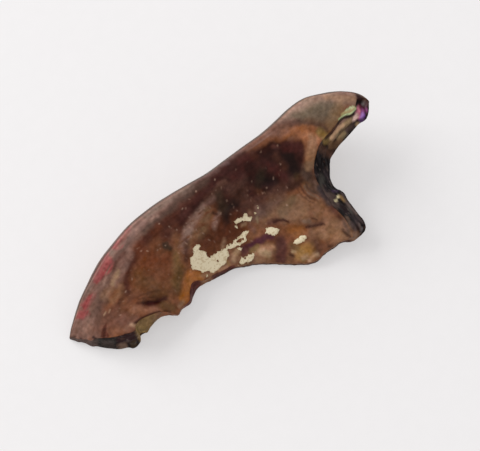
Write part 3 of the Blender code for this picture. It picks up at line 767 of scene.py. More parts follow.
# Colours of the broken faces, from the flange's thin edge and the root break round by the beak to the lobe.
BREAK_MARKS = (
    Stroke("brown root edge", Tint.UMBER, 0.6, 0.25, 1.0, ((-8.6, -1.3), (-7.2, -2.0), (-5.9, -1.8))),
    Stroke(
        "brown flange edge", Tint.SAND_DULL, 0.7, 0.25, 1.0,
        ((-4.2, -0.9), (-0.8, -1.7), (0.6, -2.4), (3.1, -4.4), (4.6, -5.1), (6.8, -5.2), (7.4, -5.5)),
    ),
    Stroke("maroon flange edge", Tint.MAROON_RED, 0.3, 0.15, 0.9, ((-2.9, -1.1), (-1.4, -1.4))),
    Stroke("chip face", Tint.CHIP_OLIVE, 0.5, 0.16, 1.0, ((-10.4, -1.4), (-9.8, -1.4), (-9.2, -1.4))),
    Stroke("chip face end", Tint.TAN_BROWN, 0.25, 0.3, 0.7, ((-9.0, -1.35), (-8.5, -1.35))),
    Stroke("chip face grey", Tint.OLIVE_YELLOW, 0.18, 0.18, 0.8, ((-10.6, -1.4), (-10.1, -1.5))),
    Stroke("root face mauve", Tint.SLATE_BROWN, 0.4, 0.2, 0.9, ((-14.8, 1.6), (-14.2, 0.9), (-13.8, 0.3))),
    Stroke("root face green", Tint.SLATE_GREEN, 0.22, 0.2, 0.4, ((-13.5, 0.2), (-13.0, -0.4), (-12.5, -0.8))),
    Stroke("root face plum", Tint.PLUM, 0.3, 0.16, 0.8, ((-12.0, -1.0), (-11.6, -1.2), (-11.1, -1.4))),
    Stroke("root face grains", Tint.GREY_TAN, 0.1, 0.1, 0.8, ((-12.4, -1.2), (-12.2, -1.25), (-11.9, -1.45))),
    Stroke(
        "root face violet", Tint.SLATE_BROWN, 0.12, 0.12, 0.3,
        ((-13.2, -0.2), (-12.9, -0.5), (-12.6, -0.8)),
    ),
    Stroke("root face brown", Tint.CHIP_OLIVE, 0.12, 0.12, 0.2, ((-11.5, -1.7), (-11.2, -1.8))),
    Stroke("maroon face", Tint.MAROON_RED, 0.38, 0.26, 0.95, ((-5.0, -1.0), (-4.5, -1.0))),
    Stroke("maroon face foot", Tint.MAROON_RED, 0.2, 0.16, 0.9, ((-6.2, -1.8), (-5.9, -1.7), (-5.3, -1.3))),
    Stroke("notch green", Tint.SLATE_GREEN, 0.2, 0.16, 0.8, ((8.4, -0.5), (7.8, -1.2))),
    Stroke("notch brown", Tint.NOTCH_BROWN, 0.3, 0.24, 0.9, ((9.6, 1.2), (9.9, 0.9), (10.4, 0.6))),
    Stroke("notch olive", Tint.OLIVE_YELLOW, 0.18, 0.12, 0.9, ((10.2, 1.45), (10.6, 1.3))),
    Stroke("notch grey", Tint.SLATE_DARK, 0.24, 0.16, 0.7, ((8.9, -0.3), (8.9, -0.7))),
    Stroke(
        "brown ledge", Tint.PALE_EDGE, 0.15, 0.07, 1.0,
        ((11.3, 1.65), (12.0, 1.8), (12.8, 1.84), (13.2, 1.76)),
    ),
    Stroke("tan ledge", Tint.LEDGE_TAN, 0.14, 0.08, 1.0, ((10.8, 1.42), (11.7, 1.58), (12.2, 1.6))),
    Stroke("tan ledge end", Tint.STEP_TAN, 0.14, 0.1, 1.0, ((12.4, 1.58), (13.0, 1.54))),
    Stroke("olive ledge", Tint.STEP_OLIVE, 0.2, 0.12, 0.95, ((11.5, 1.22), (12.1, 1.25))),
    Stroke("pale on the olive ledge", Tint.STEP_TAN, 0.07, 0.07, 0.9, ((11.6, 1.25), (12.0, 1.3))),
    Stroke("slate ledge", Tint.SLATE_BROWN, 0.18, 0.12, 0.95, ((12.4, 1.28), (13.0, 1.3))),
    Stroke("black under the ledges", Tint.BLACK, 0.12, 0.1, 0.9, ((12.2, 0.95), (13.1, 1.1))),
    Stroke(
        "olive under the ledges", Tint.TAN_BROWN, 0.22, 0.16, 0.8,
        ((10.6, 1.1), (11.0, 1.0), (11.5, 1.0)),
    ),
    Stroke(
        "dark line on the ledge", Tint.SMOKE_BROWN, 0.035, 0.05, 0.7,
        ((11.1, 1.2), (11.7, 1.4), (12.3, 1.42), (13.0, 1.46)),
    ),
    Stroke("pink glint", Tint.HOT_PINK, 0.18, 0.1, 1.0, ((13.85, 1.72), (13.7, 1.45))),
    Stroke("pale pink glint", Tint.PINK_PALE, 0.1, 0.08, 0.8, ((13.5, 1.66), (13.6, 1.5))),
    Stroke("cream glint", Tint.GLINT_CREAM, 0.1, 0.06, 1.0, ((13.25, 1.5), (13.5, 1.52))),
    Stroke("magenta glint", Tint.MAGENTA, 0.12, 0.1, 0.9, ((14.1, 1.58), (14.3, 1.56), (14.5, 1.5))),
    Stroke("violet glint", Tint.LILAC, 0.15, 0.1, 1.0, ((13.8, 1.24), (14.05, 1.34))),
    Stroke("lavender glint", Tint.LAVENDER, 0.1, 0.07, 1.0, ((13.95, 1.34), (13.95, 1.22))),
    Stroke("wine shade", Tint.WINE, 0.14, 0.1, 1.0, ((14.1, 1.82), (14.4, 1.72), (14.65, 1.7))),
    Stroke("violet shade", Tint.DARK_VIOLET, 0.11, 0.09, 0.9, ((13.7, 1.2), (14.0, 1.1))),
    Stroke("grey glint", Tint.GREY_GLINT, 0.07, 0.06, 0.9, ((14.3, 1.9), (14.6, 1.9), (14.7, 1.8))),
    Stroke("tan spot", Tint.STEP_TAN, 0.1, 0.08, 0.8, ((13.3, 1.22), (13.45, 1.15))),
    Stroke("lobe slate", Tint.SLATE_BROWN, 0.42, 0.24, 0.75, ((7.6, -1.8), (7.9, -2.4), (7.8, -2.9))),
    Stroke("lobe foot black", Tint.PLUM_BLACK, 0.14, 0.12, 0.85, ((8.05, -1.2), (7.95, -1.75))),
    Stroke("lobe violet", Tint.DARK_VIOLET, 0.13, 0.11, 0.7, ((8.4, -1.9), (8.8, -1.9))),
    Stroke("lobe cream", Tint.CREAM, 0.11, 0.06, 1.0, ((7.98, -2.72), (8.16, -2.66))),
    Stroke("thin lobe cream", Tint.CREAM, 0.05, 0.05, 0.9, ((8.2, -2.6), (8.45, -2.46))),
    Stroke("second lobe cream", Tint.CREAM, 0.1, 0.05, 1.0, ((8.45, -2.46), (8.6, -2.4))),
    Stroke("lobe olive", Tint.CHIP_BRIGHT, 0.2, 0.12, 1.0, ((8.75, -2.55), (8.85, -2.95))),
    Stroke("lobe haze", Tint.SLATE_BROWN, 0.24, 0.2, 0.5, ((8.8, -3.45), (8.85, -3.8), (8.8, -4.2))),
    Stroke("lobe black", Tint.PLUM_BLACK, 0.24, 0.16, 0.95, ((8.3, -3.3), (8.1, -3.9))),
    Stroke("lobe green", Tint.SLATE_GREEN, 0.14, 0.1, 0.9, ((8.8, -3.6), (8.6, -4.0))),
    Stroke("lobe dark slate", Tint.SLATE_DARK, 0.24, 0.16, 0.9, ((8.6, -4.4), (8.6, -4.8))),
    Stroke("lobe mid slate", Tint.GREY_TAN, 0.16, 0.14, 0.8, ((7.85, -4.4), (7.8, -5.0))),
    Stroke("lobe grey", Tint.SLATE, 0.21, 0.16, 0.8, ((8.0, -4.9), (8.0, -5.2))),
    Stroke("lobe brown", Tint.BROWN_BLACK, 0.14, 0.11, 0.8, ((8.4, -5.1), (8.3, -5.3))),
    Stroke("lobe end black", Tint.BLACK, 0.1, 0.08, 0.9, ((8.7, -5.2), (8.5, -5.5))),
    Stroke("slate in the lobe end", Tint.SLATE, 0.12, 0.12, 0.8, ((8.5, -4.85), (8.5, -5.1))),
    Stroke("lobe end tan", Tint.GREY_TAN, 0.16, 0.13, 0.8, ((7.5, -5.5), (7.9, -5.6))),
    Stroke("lobe end grey", Tint.SLATE, 0.13, 0.12, 0.9, ((8.9, -4.5), (8.95, -5.0))),
    Stroke("glint on the lobe end", Tint.GLINT_AND_FLECK_GREY, 0.08, 0.08, 0.8, ((8.62, -5.05), (8.45, -5.35))),
    Stroke("light in the haze", Tint.GLINT_AND_FLECK_GREY, 0.12, 0.1, 0.8, ((8.85, -3.1), (8.9, -3.8), (9.05, -4.2))),
    # Painted glint: a pale grey sparkle on the lobe's broken corner.
    Stroke("grey glint on the lobe corner", Tint.GREY_GLINT, 0.06, 0.06, 0.9, ((8.4, -5.5), (8.62, -5.38))),
    Stroke("olive over the bay", Tint.STEP_OLIVE, 0.1, 0.1, 0.7, ((10.5, 1.62), (10.75, 1.66))),
    Stroke("lobe far slate", Tint.SLATE, 0.12, 0.12, 0.8, ((9.0, -2.3), (9.0, -3.2))),
)

# Marks on the first steps of the ledges, each with the shares of the wall's depth that it starts and ends at.
LEDGE_MARKS = (
    (
        Stroke("chip lip", Tint.CHIP_PALE, 0.3, 0.1, 1.0, ((12.6, 2.0), (13.0, 1.9), (13.4, 1.8))),
        -0.4, -0.04,
    ),
    (
        Stroke("pale chip lip", Tint.PALE_GREEN, 0.3, 0.1, 1.0, ((12.5, 2.0), (13.0, 1.9), (13.4, 1.8))),
        -0.09, 0.01,
    ),
    (Stroke("crack tail", Tint.RUST_DARK, 0.3, 0.2, 0.9, ((10.6, 1.6), (11.2, 1.7), (11.7, 1.8))), 0.02, 0.2),
    # The black crack on the first steep riser also stands for the shadow under the overhanging lip: part
    # crack, part painted shadow.
    (Stroke("crack", Tint.BLACK, 0.3, 0.12, 0.85, ((12.1, 1.9), (12.8, 1.95), (13.25, 1.85))), 0.02, 0.17),
)
# How much deeper those marks lie at the end of the beak, and where along it they sink.
LEDGE_SINK = 0.16
LEDGE_SINK_SPAN = (12.2, 13.2)
# How far those marks fade beyond their ends and within them, as shares of the wall's depth.
LEDGE_FADE_OUT, LEDGE_FADE_IN = 0.03, 0.02

# Colours of the hidden flank, seen from its side: places along the shard and heights above its base.
FLANK_MARKS = (
    Stroke("flank umber", Tint.UMBER, 0.9, 0.9, 0.75, ((-10.0, 1.2), (-5.0, 2.1), (0.0, 1.9), (6.0, 2.7))),
    Stroke("flank amber", Tint.AMBER_DULL, 0.45, 0.5, 0.6, ((-8.5, 1.6), (-4.5, 2.4), (-2.0, 2.3))),
    Stroke(
        "flank mauve", Tint.MAUVE_DARK, 0.4, 0.45, 0.7,
        ((-9.5, 3.2), (-4.5, 4.2), (1.0, 4.4), (5.0, 4.5)),
    ),
    Stroke("flank olive", Tint.OLIVE_DULL, 0.4, 0.5, 0.6, ((-2.0, 3.3), (2.5, 3.5), (6.5, 3.7))),
    Stroke("flank rust", Tint.RUST_RED, 0.35, 0.4, 0.5, ((-6.5, 3.2), (-3.5, 3.4), (-1.5, 3.2))),
    Stroke("flank shade", Tint.NIGHT, 0.5, 0.55, 0.7, ((-7.5, 0.5), (-2.0, 0.8), (3.0, 0.6), (6.5, 1.1))),
    Stroke("flank cloud", Tint.NIGHT, 0.4, 0.45, 0.6, ((1.5, 2.7), (4.0, 2.9), (5.5, 3.2))),
    Stroke("flank beak olive", Tint.GREY_OLIVE, 0.5, 0.6, 0.5, ((8.8, 4.3), (11.0, 4.5), (12.8, 4.8))),
    Stroke("flank beak tan", Tint.SAND_DULL, 0.35, 0.4, 0.7, ((8.0, 2.6), (10.0, 3.1), (12.0, 3.7))),
    Stroke("flank red stain", Tint.RED, 0.26, 0.2, 0.75, ((-12.3, 1.6), (-11.6, 2.0), (-10.8, 2.2))),
    Stroke("high flank red stain", Tint.RED, 0.24, 0.2, 0.65, ((-9.6, 3.0), (-8.7, 3.3), (-8.0, 3.4))),
    Stroke("flank pale streak", Tint.GREY_TAN, 0.12, 0.16, 0.6, ((-3.5, 1.4), (0.0, 1.6), (2.5, 1.5))),
    Stroke("second flank pale streak", Tint.TAN, 0.12, 0.16, 0.5, ((-9.0, 2.4), (-6.0, 2.9), (-4.5, 3.0))),
)

# The shade along the lower half of the flange's thin edge.
FLANGE_FOOT = Stroke(
    "flange foot shade", Tint.MAHOGANY, 0.7, 0.25, 0.85,
    ((-2.2, -1.4), (-0.8, -1.7), (0.6, -2.4), (3.1, -4.4), (4.6, -5.1), (6.8, -5.3)),
)

# Flakes of mineral crust: their outlines, the hole and the pit in them, and the loose grains.
CRUST_FLAKES = (
    (
        (-3.4, 0.9), (-3.2, 1.1), (-2.8, 1.1), (-2.7, 0.9), (-2.9, 0.7), (-2.6, 0.3), (-2.6, 0.1),
        (-2.5, 0.0),
        (-2.2, -0.1), (-1.5, -0.1), (-1.1, -0.2), (-0.9, -0.1), (-0.5, -0.2), (0.0, -0.1), (0.4, -0.2),
        (1.0, -0.2),
        (1.2, -0.4), (1.0, -0.5), (0.8, -0.5), (0.7, -0.8), (0.4, -0.8), (-0.1, -0.6), (-1.0, -0.4),
        (-1.1, -0.7),
        (-1.4, -0.8), (-1.7, -1.0), (-2.2, -1.0), (-2.8, -1.0), (-3.4, -0.7), (-3.8, -0.5), (-4.0, -0.2),
        (-4.3, 0.0), (-4.1, 0.4), (-3.9, 0.6), (-3.6, 0.7),
    ),
    (
        (0.6, 0.8), (1.0, 0.9), (1.3, 0.7), (1.6, 0.8), (1.8, 0.7), (1.8, 0.5), (2.0, 0.3), (1.7, 0.1),
        (1.2, 0.5),
        (0.9, 0.6), (0.6, 0.6),
    ),
    (
        (2.3, -1.05), (2.7, -1.1), (2.9, -1.4), (3.1, -1.5), (3.25, -1.75), (2.95, -1.85), (2.6, -1.85),
        (2.4, -1.5),
        (2.05, -1.25),
    ),
    (
        (3.5, -3.1), (3.8, -3.0), (4.0, -3.1), (4.2, -2.95), (4.6, -3.25), (4.5, -3.5), (4.2, -3.55),
        (3.7, -3.4),
    ),
    (
        (0.15, -1.5), (0.8, -1.75), (0.5, -1.9), (0.3, -2.0), (-0.1, -1.9), (-0.3, -1.75), (-0.7, -1.72),
        (-1.2, -1.65), (-0.7, -1.58), (-0.45, -1.38), (-0.2, -1.58),
    ),
)
CRUST_HOLE = ((0.0, -0.3), (0.2, -0.3), (0.5, -0.5), (0.4, -0.6), (0.1, -0.5))
CRUST_PIT = (-2.1, -0.55)
CRUST_PIT_RADIUS = 0.06
CRUST_GRAINS = (
    ((0.5, 0.45), 0.10), ((-0.1, -0.9), 0.14), ((-3.55, -0.9), 0.11), ((2.35, 0.35), 0.08),
    ((2.8, 0.55), 0.07),
)

# Pale specks on the enamel.
SPECKS = (
    (-3.0, 1.65), (-1.0, 2.5), (-2.45, 3.35), (-0.8, 3.8), (0.9, 3.6), (0.85, 2.1), (0.0, 1.7), (-0.65, 1.4),
    (-0.95, 1.25), (6.65, 3.05), (6.15, 1.9), (3.65, 1.15), (5.6, 0.4), (-8.75, 1.65), (-9.6, 1.35),
    (-5.1, 2.1), (-4.65, 3.5), (-4.1, 2.95), (-3.75, 2.45), (-6.6, 2.55), (-5.8, 2.2), (-2.75, 2.1),
    (-2.0, 1.3), (-3.65, 1.5), (-1.9, 0.85), (4.8, -0.6),
)
SPECK_SEED = 5
FAINT_SPECKS = 90
# Where the faint ones are strewn, along the shard and across it.
STREWN_OVER = ((-11.0, 6.0), (-1.0, 3.6))
# Half widths and strengths of the placed ones and of the faint ones.
SPECK_SIZE, SPECK_STRENGTH = 0.035, 0.65
FAINT_SIZES, FAINT_STRENGTHS = (0.02, 0.045), (0.15, 0.45)
# How far a speck may run on along each axis, and half the breadth of its soft edge.
SPECK_RUN, SPECK_SOFTNESS = 0.09, 0.045

# Fine grooves in the enamel.
GROOVES = (
    Groove("slot", 0.22, 0.4, ((-8.8, -0.25), (-8.3, -0.45), (-7.9, -0.58))),
    Groove("slot tail", 0.04, 0.2, ((-9.4, 0.1), (-9.0, -0.15))),
    Groove("first slot fold", 0.02, 0.14, ((-9.2, 0.5), (-8.4, 0.3), (-7.5, 0.0))),
    Groove("second slot fold", 0.02, 0.14, ((-9.2, 0.3), (-8.4, 0.0), (-7.8, -0.3))),
    Groove("pit", 0.08, 0.3, ((-5.2, 2.1), (-4.9, 1.8))),
    Groove("wedge crack", 0.1, 0.22, ((-12.9, -0.2), (-12.6, 0.15))),
    Groove("long crack", 0.06, 0.13, ((3.2, -0.95), (3.6, -1.05), (3.9, -1.3), (4.1, -1.6))),
    Groove("lobe crack", 0.07, 0.14, ((5.0, -2.85), (5.4, -3.1), (5.8, -3.3), (6.2, -3.6))),
    Groove("lobe crack branch", 0.04, 0.1, ((5.7, -2.65), (5.95, -3.0))),
    Groove("first foot line", 0.04, 0.12, ((6.5, -0.2), (6.4, -0.8), (6.5, -1.3), (6.8, -1.9))),
    Groove("second foot line", 0.05, 0.13, ((6.9, -0.4), (6.8, -0.8), (7.0, -1.4), (7.3, -2.0))),
    Groove("corner crack", 0.05, 0.14, ((7.2, -4.8), (7.3, -5.2), (7.4, -5.5))),
    Groove("tip crack", 0.1, 0.1, ((13.3, 1.8), (12.8, 1.9), (12.2, 1.9), (11.8, 1.8), (11.2, 1.7))),
)


@dataclass(frozen=True)
class Skin:
    """Every point of the shard's skin, in millimetres, and what is known of it.

    Attributes:
        points: Places, n by 3.
        zones: The zone of each point, as the zone's number.
        growth: Places along and across the growth lines, in millimetres, n by 2.
        down: Share of the way from the crown to the base.
        faces: Corners of the faces.
        face_zones: The zone of each face, as the zone's number.
    """

    points: np.ndarray
    zones: np.ndarray
    growth: np.ndarray
    down: np.ndarray
    faces: np.ndarray
    face_zones: np.ndarray

    def of(self, zone: Zone) -> np.ndarray:
        """Which points are in a zone."""
        return self.zones == zone.value


def rim_gap(growth: np.ndarray) -> np.ndarray:
    """How far places in growth coordinates are from the rim of the crown or the base."""
    return np.minimum(growth, GROWTH_SPAN - growth).min(axis=1)


@dataclass(frozen=True)
class ShardForm:
    """The shard's broad shape, drawn from the same stations as its solid but finer.

    Attributes:
        cells_along: Cells from the root break to the beak end.
        cells_across: Cells from the ridge to the flange.
        bands: Bands down the walls. A multiple of five keeps the corners of the ledges.
        solid_along: Cells along the solid, whose rim carries the sheets.
        solid_across: Cells across the solid.
        relax_rounds: Rounds that even out the solid's cells.
        finer_rounds: Rounds that even out the finer cells.
        sheet_ease: How far the sheets may ease away from single spot heights.
        roll_angle: Turn of the hidden flank from the crest to its foot.
        ridge: Stations of the ridge: x, y, upper height, outward flare, lower height.
        beak_end: Stations of the beak end, the notch and the lobe.
        flange: Stations of the flange's edge.
        root_break: Stations of the root break.
        crown_spots: Spot heights of the crown: x, y and height.
        base_spots: Spot heights of the underside.
        crest_line: Stations of the rounded crest beside the ridge: x, y and height.
        crest_samples: Points of that line that the crown's sheet passes through.
        dents: Dents in the crown: middle x and y, half length, half width, turn in degrees, depth.
        ledges: The stepped wall beside the beak: shares of the way out and of the way down.
        ledge_start: Share of the beak end where the stepped wall starts.
        ledge_end: Share of the beak end where it ends.
        ledge_fade: How far it eases in and out.
    """

    cells_along: int = 340
    cells_across: int = 100
    bands: int = 30
    solid_along: int = 76
    solid_across: int = 22
    relax_rounds: int = 60
    finer_rounds: int = 12
    sheet_ease: float = 0.3
    roll_angle: float = math.radians(100.0)
    ridge: Stations = (
        (-14.9, 1.8, 0.6, 0.05, 0.1), (-14.1, 2.2, 1.3, 0.3, 0.0), (-12.6, 3.0, 2.4, 0.5, 0.0),
        (-11.2, 3.5, 3.2, 0.7, 0.0), (-9.7, 4.0, 3.9, 0.9, 0.0), (-8.3, 4.3, 4.4, 1.0, 0.0),
        (-6.3, 4.6, 4.9, 1.1, 0.0), (-4.4, 4.6, 5.3, 1.2, 0.0), (-2.6, 4.5, 5.5, 1.2, 0.0),
        (-0.9, 4.3, 5.6, 1.2, 0.0), (0.8, 4.1, 5.6, 1.2, 0.0), (2.6, 4.1, 5.7, 1.2, 0.0),
        (4.6, 4.1, 5.8, 1.2, 0.0), (6.6, 4.1, 5.8, 1.2, 0.3), (8.2, 4.3, 5.9, 1.1, 0.8),
        (9.4, 4.5, 5.9, 1.0, 1.4), (10.7, 4.5, 5.9, 0.9, 2.0), (11.9, 4.0, 5.9, 0.9, 2.6),
        (13.0, 3.4, 5.8, 0.9, 3.2), (13.7, 2.8, 5.7, 0.9, 3.7), (14.1, 2.3, 5.5, 1.1, 4.1),
    )
    beak_end: Stations = (
        (14.1, 2.3, 5.5, 1.1, 4.1), (13.7, 2.0, 5.3, 1.1, 3.8), (13.3, 1.9, 5.1, 0.8, 3.5),
        (12.6, 2.0, 5.0, 1.0, 3.3), (11.9, 1.9, 4.8, 1.0, 3.1), (11.1, 1.7, 4.7, 0.9, 2.9),
        (10.4, 1.6, 4.5, 1.0, 2.8), (9.6, 1.4, 4.4, 1.1, 2.6), (8.7, 0.8, 4.2, 1.3, 2.5),
        (8.0, 0.1, 4.0, 1.4, 2.3), (7.7, -0.6, 3.8, 1.4, 2.2), (7.6, -1.3, 3.6, 1.4, 2.1),
        (7.5, -2.1, 3.5, 1.8, 1.9), (7.4, -2.9, 3.4, 1.8, 1.8), (7.5, -3.8, 3.2, 1.7, 1.6),
        (7.6, -4.5, 3.0, 1.6, 1.4), (7.6, -4.9, 2.7, 1.6, 1.2), (7.6, -5.3, 2.2, 1.3, 1.1),
        (7.6, -5.6, 1.6, 0.3, 1.0),
    )
    flange: Stations = (
        (-10.8, -1.4, 2.3, 0.4, 0.1), (-10.5, -1.1, 2.4, 0.3, 0.6), (-10.0, -1.0, 2.4, 0.7, 0.8),
        (-9.2, -1.1, 2.2, 0.4, 1.0), (-8.3, -1.3, 2.0, 0.1, 1.0), (-7.8, -1.6, 1.6, 0.0, 0.9),
        (-7.2, -2.0, 1.2, 0.0, 0.7), (-6.7, -1.8, 1.2, 0.0, 0.6), (-6.2, -1.8, 1.2, 0.0, 0.6),
        (-5.8, -1.7, 1.3, 0.1, 0.6), (-5.4, -1.2, 1.4, 0.3, 0.5), (-4.9, -0.8, 1.4, 0.4, 0.4),
        (-4.4, -0.8, 1.3, 0.3, 0.4), (-3.8, -1.1, 1.1, 0.0, 0.4), (-3.2, -1.1, 1.0, 0.1, 0.3),
        (-2.6, -1.2, 1.0, 0.1, 0.3), (-2.0, -1.3, 0.9, 0.1, 0.3), (-1.3, -1.4, 0.9, 0.1, 0.3),
        (-0.8, -1.7, 0.8, 0.0, 0.2), (0.6, -2.4, 0.6, 0.0, 0.1), (1.9, -3.4, 0.5, 0.0, 0.1),
        (3.1, -4.4, 0.5, 0.0, 0.1), (3.9, -4.9, 0.6, 0.0, 0.1), (4.6, -5.1, 0.7, 0.0, 0.2),
        (5.2, -5.0, 0.9, 0.0, 0.4), (6.1, -5.1, 1.1, 0.0, 0.6), (6.8, -5.2, 1.3, 0.0, 0.8),
        (7.6, -5.6, 1.6, 0.3, 1.0),
    )
    root_break: Stations = (
        (-14.9, 1.8, 0.6, 0.05, 0.1), (-14.5, 1.3, 0.7, 0.1, 0.2), (-14.1, 0.8, 0.8, 0.1, 0.2),
        (-13.8, 0.4, 1.1, 0.2, 0.2), (-13.4, 0.2, 1.3, 0.3, 0.1), (-12.7, -0.4, 1.6, 0.4, 0.1),
        (-12.1, -0.8, 1.8, 0.5, 0.0), (-11.5, -1.1, 2.0, 0.5, 0.0), (-11.2, -1.3, 2.2, 0.6, 0.0),
        (-10.8, -1.4, 2.3, 0.4, 0.1),
    )
    crown_spots: Stations = (
        (-12.2, 1.2, 2.3), (-10.7, 2.4, 3.2), (-9.4, 1.7, 3.3), (-10.7, -0.4, 2.4),
        (-8.8, 0.2, 2.7), (-7.0, -0.9, 2.1),
        (-6.2, 1.2, 3.4), (-5.0, 2.6, 4.5), (-4.9, 0.1, 2.4),
        (-2.7, 2.2, 4.5), (-2.8, 1.2, 3.3), (-3.0, -0.1, 1.8), (-1.0, 0.2, 2.2),
        (0.7, 1.5, 3.7), (0.6, -0.6, 2.2),
        (2.1, 2.2, 4.6), (2.3, 0.9, 3.3), (2.2, -0.7, 2.5), (2.0, -2.2, 1.7),
        (3.9, -4.1, 1.3), (4.7, -2.4, 2.3), (4.6, 2.0, 4.6),
        (4.6, 0.4, 3.2), (6.6, 0.4, 3.7), (6.5, -1.1, 3.3),
        (6.3, -2.3, 3.0), (5.9, -3.5, 2.4), (6.4, -4.7, 1.8), (7.9, 0.9, 4.4),
        (8.6, 1.9, 4.9), (10.4, 2.9, 5.6), (11.9, 2.9, 5.7),
    )
    base_spots: Stations = (
        (-12.9, 1.0, -0.2), (-11.4, 0.4, -0.2), (-11.2, 2.6, -0.3), (-9.0, 3.5, -0.3),
        (-9.0, 1.0, 0.6), (-6.0, 4.1, -0.3), (-6.0, 1.6, 1.1), (-7.6, -0.2, 0.5),
        (-4.6, 0.4, 0.5), (-3.0, 3.8, -0.3), (-3.0, 1.4, 1.2), (0.0, 3.5, -0.3),
        (0.0, 1.0, 1.2), (-0.4, -0.9, 0.1), (3.0, 3.5, -0.3), (3.0, 0.9, 1.4),
        (1.4, -1.8, -0.2), (3.0, -3.2, -0.3), (4.6, -3.6, -0.1), (4.9, 3.4, -0.2),
        (5.5, 1.2, 1.6), (5.0, -1.0, 0.9), (6.6, -3.2, 0.7), (7.2, 3.0, 0.9),
        (7.4, 0.6, 2.0), (9.6, 3.2, 1.9), (11.4, 2.8, 2.6), (12.8, 2.2, 3.1),
    )
    crest_line: Stations = (
        (-9.0, 3.3, 4.2), (-6.4, 3.7, 5.0), (-3.5, 3.8, 5.45), (-0.7, 3.4, 5.55), (2.2, 3.4, 5.65),
        (4.3, 3.4, 5.7), (6.1, 3.5, 5.72), (8.6, 3.6, 5.8),
    )
    crest_samples: int = 25
    dents: Stations = (
        (6.9, 2.1, 1.3, 0.8, -20.0, 0.45), (-7.7, -0.3, 0.7, 0.24, -38.0, 0.40),
        (1.3, 1.1, 1.2, 0.5, 50.0, 0.25), (-7.4, 2.6, 0.25, 0.25, 0.0, 0.12),
        (8.4, 1.0, 1.0, 0.35, 52.0, -0.15),
    )
    ledges: Stations = ((0.0, 0.0), (0.08, 0.30), (0.42, 0.42), (0.50, 0.72), (0.85, 0.82), (1.0, 1.0))
    ledge_start: float = 0.08
    ledge_end: float = 0.36
    ledge_fade: float = 0.05

    @staticmethod
    def smooth_line(stations: Stations, count: int) -> np.ndarray:
        """A smooth line through stations.

        Args:
            stations: Stations, each a row of values that starts with x and y.
            count: How many evenly spaced points to give back.

        Returns:
            The points, with all of the stations' values.
        """
        points = np.array(stations, float)
        padded = np.vstack([2 * points[0] - points[1], points, 2 * points[-1] - points[-2]])
        share = np.linspace(0.0, 1.0, LINE_STEPS, endpoint=False)[:, None]
        pieces = []
        for before, start, end, after in zip(padded, padded[1:], padded[2:], padded[3:]):
            leave = 0.5 * (end - before)
            arrive = 0.5 * (after - start)
            bend = 2 * (start - end) + leave + arrive
            ease = 3 * (end - start) - 2 * leave - arrive
            pieces.append(start + share * leave + share**2 * ease + share**3 * bend)
        fine = np.vstack([*pieces, points[-1:]])
        steps = np.linalg.norm(np.diff(fine[:, :2], axis=0), axis=1)
        walked = np.concatenate([[0.0], np.cumsum(steps)])
        wanted = np.linspace(0.0, walked[-1], count)
        return np.stack([np.interp(wanted, walked, column) for column in fine.T], axis=1)

    def closed_rim(self, along: int, across: int) -> np.ndarray:
        """The stations of the whole rim, clockwise from above.

        Args:
            along: Cells along the shard.
            across: Cells across it.

        Returns:
            One station for each point of the grid's border.
        """
        ridge = self.smooth_line(self.ridge, along + 1)
        beak_end = self.smooth_line(self.beak_end, across + 1)
        flange = self.smooth_line(self.flange, along + 1)
        root_break = self.smooth_line(self.root_break, across + 1)
        return np.vstack([ridge[:-1], beak_end[:-1], flange[:0:-1], root_break[:0:-1]])

    @staticmethod
    def lower_rim(rim: np.ndarray) -> np.ndarray:
        """The lower edge of the walls: the rim moved outwards by its flare, at its lower height.

        Args:
            rim: Stations of the rim.

        Returns:
            The edge's points, n by 3.
        """
        reach = max(1, len(rim) // FACING_PARTS)
        along = np.roll(rim[:, :2], -reach, axis=0) - np.roll(rim[:, :2], reach, axis=0)
        facing = np.stack([-along[:, 1], along[:, 0]], axis=1)
        facing /= np.linalg.norm(facing, axis=1, keepdims=True)
        return np.column_stack([rim[:, :2] + facing * rim[:, 3:4], rim[:, 4]])

    @staticmethod
    def sides(rim: np.ndarray, along: int, across: int) -> tuple[np.ndarray, ...]:
        """The four sides of a rim in plan, each in the grid's own direction.

        Args:
            rim: Points of the rim, which start with x and y.
            along: Cells along the shard.
            across: Cells across it.

        Returns:
            The ridge, the beak end, the flange and the root break.
        """
        root_break = np.vstack([rim[2 * along + across :, :2], rim[:1, :2]])[::-1]
        flange = rim[along + across : 2 * along + across + 1, :2][::-1]
        return rim[: along + 1, :2], rim[along : along + across + 1, :2], flange, root_break

    @staticmethod
    def eased(grid: np.ndarray, rounds: int) -> np.ndarray:
        """A grid whose inner points have moved to the middle of their neighbours.

        Args:
            grid: The grid of plan points, which is changed.
            rounds: How many times they move.

        Returns:
            The grid.
        """
        for _ in range(rounds):
            around = grid[:-2, 1:-1] + grid[2:, 1:-1] + grid[1:-1, :-2] + grid[1:-1, 2:]
            grid[1:-1, 1:-1] = around / 4
        return grid

    def coarse_plan(self, rim: np.ndarray) -> np.ndarray:
        """The solid's own grid of plan points.

        Args:
            rim: The solid's rim.

        Returns:
            The grid.
        """
        ridge, beak_end, flange, root_break = self.sides(rim, self.solid_along, self.solid_across)
        u = np.linspace(0.0, 1.0, self.solid_along + 1)[:, None, None]
        v = np.linspace(0.0, 1.0, self.solid_across + 1)[None, :, None]
        lengthwise = (1 - v) * ridge[:, None] + v * flange[:, None]
        crosswise = (1 - u) * root_break[None] + u * beak_end[None]
        near = (1 - v) * ridge[0] + v * flange[0]
        far = (1 - v) * ridge[-1] + v * flange[-1]
        return self.eased(lengthwise + crosswise - (1 - u) * near - u * far, self.relax_rounds)

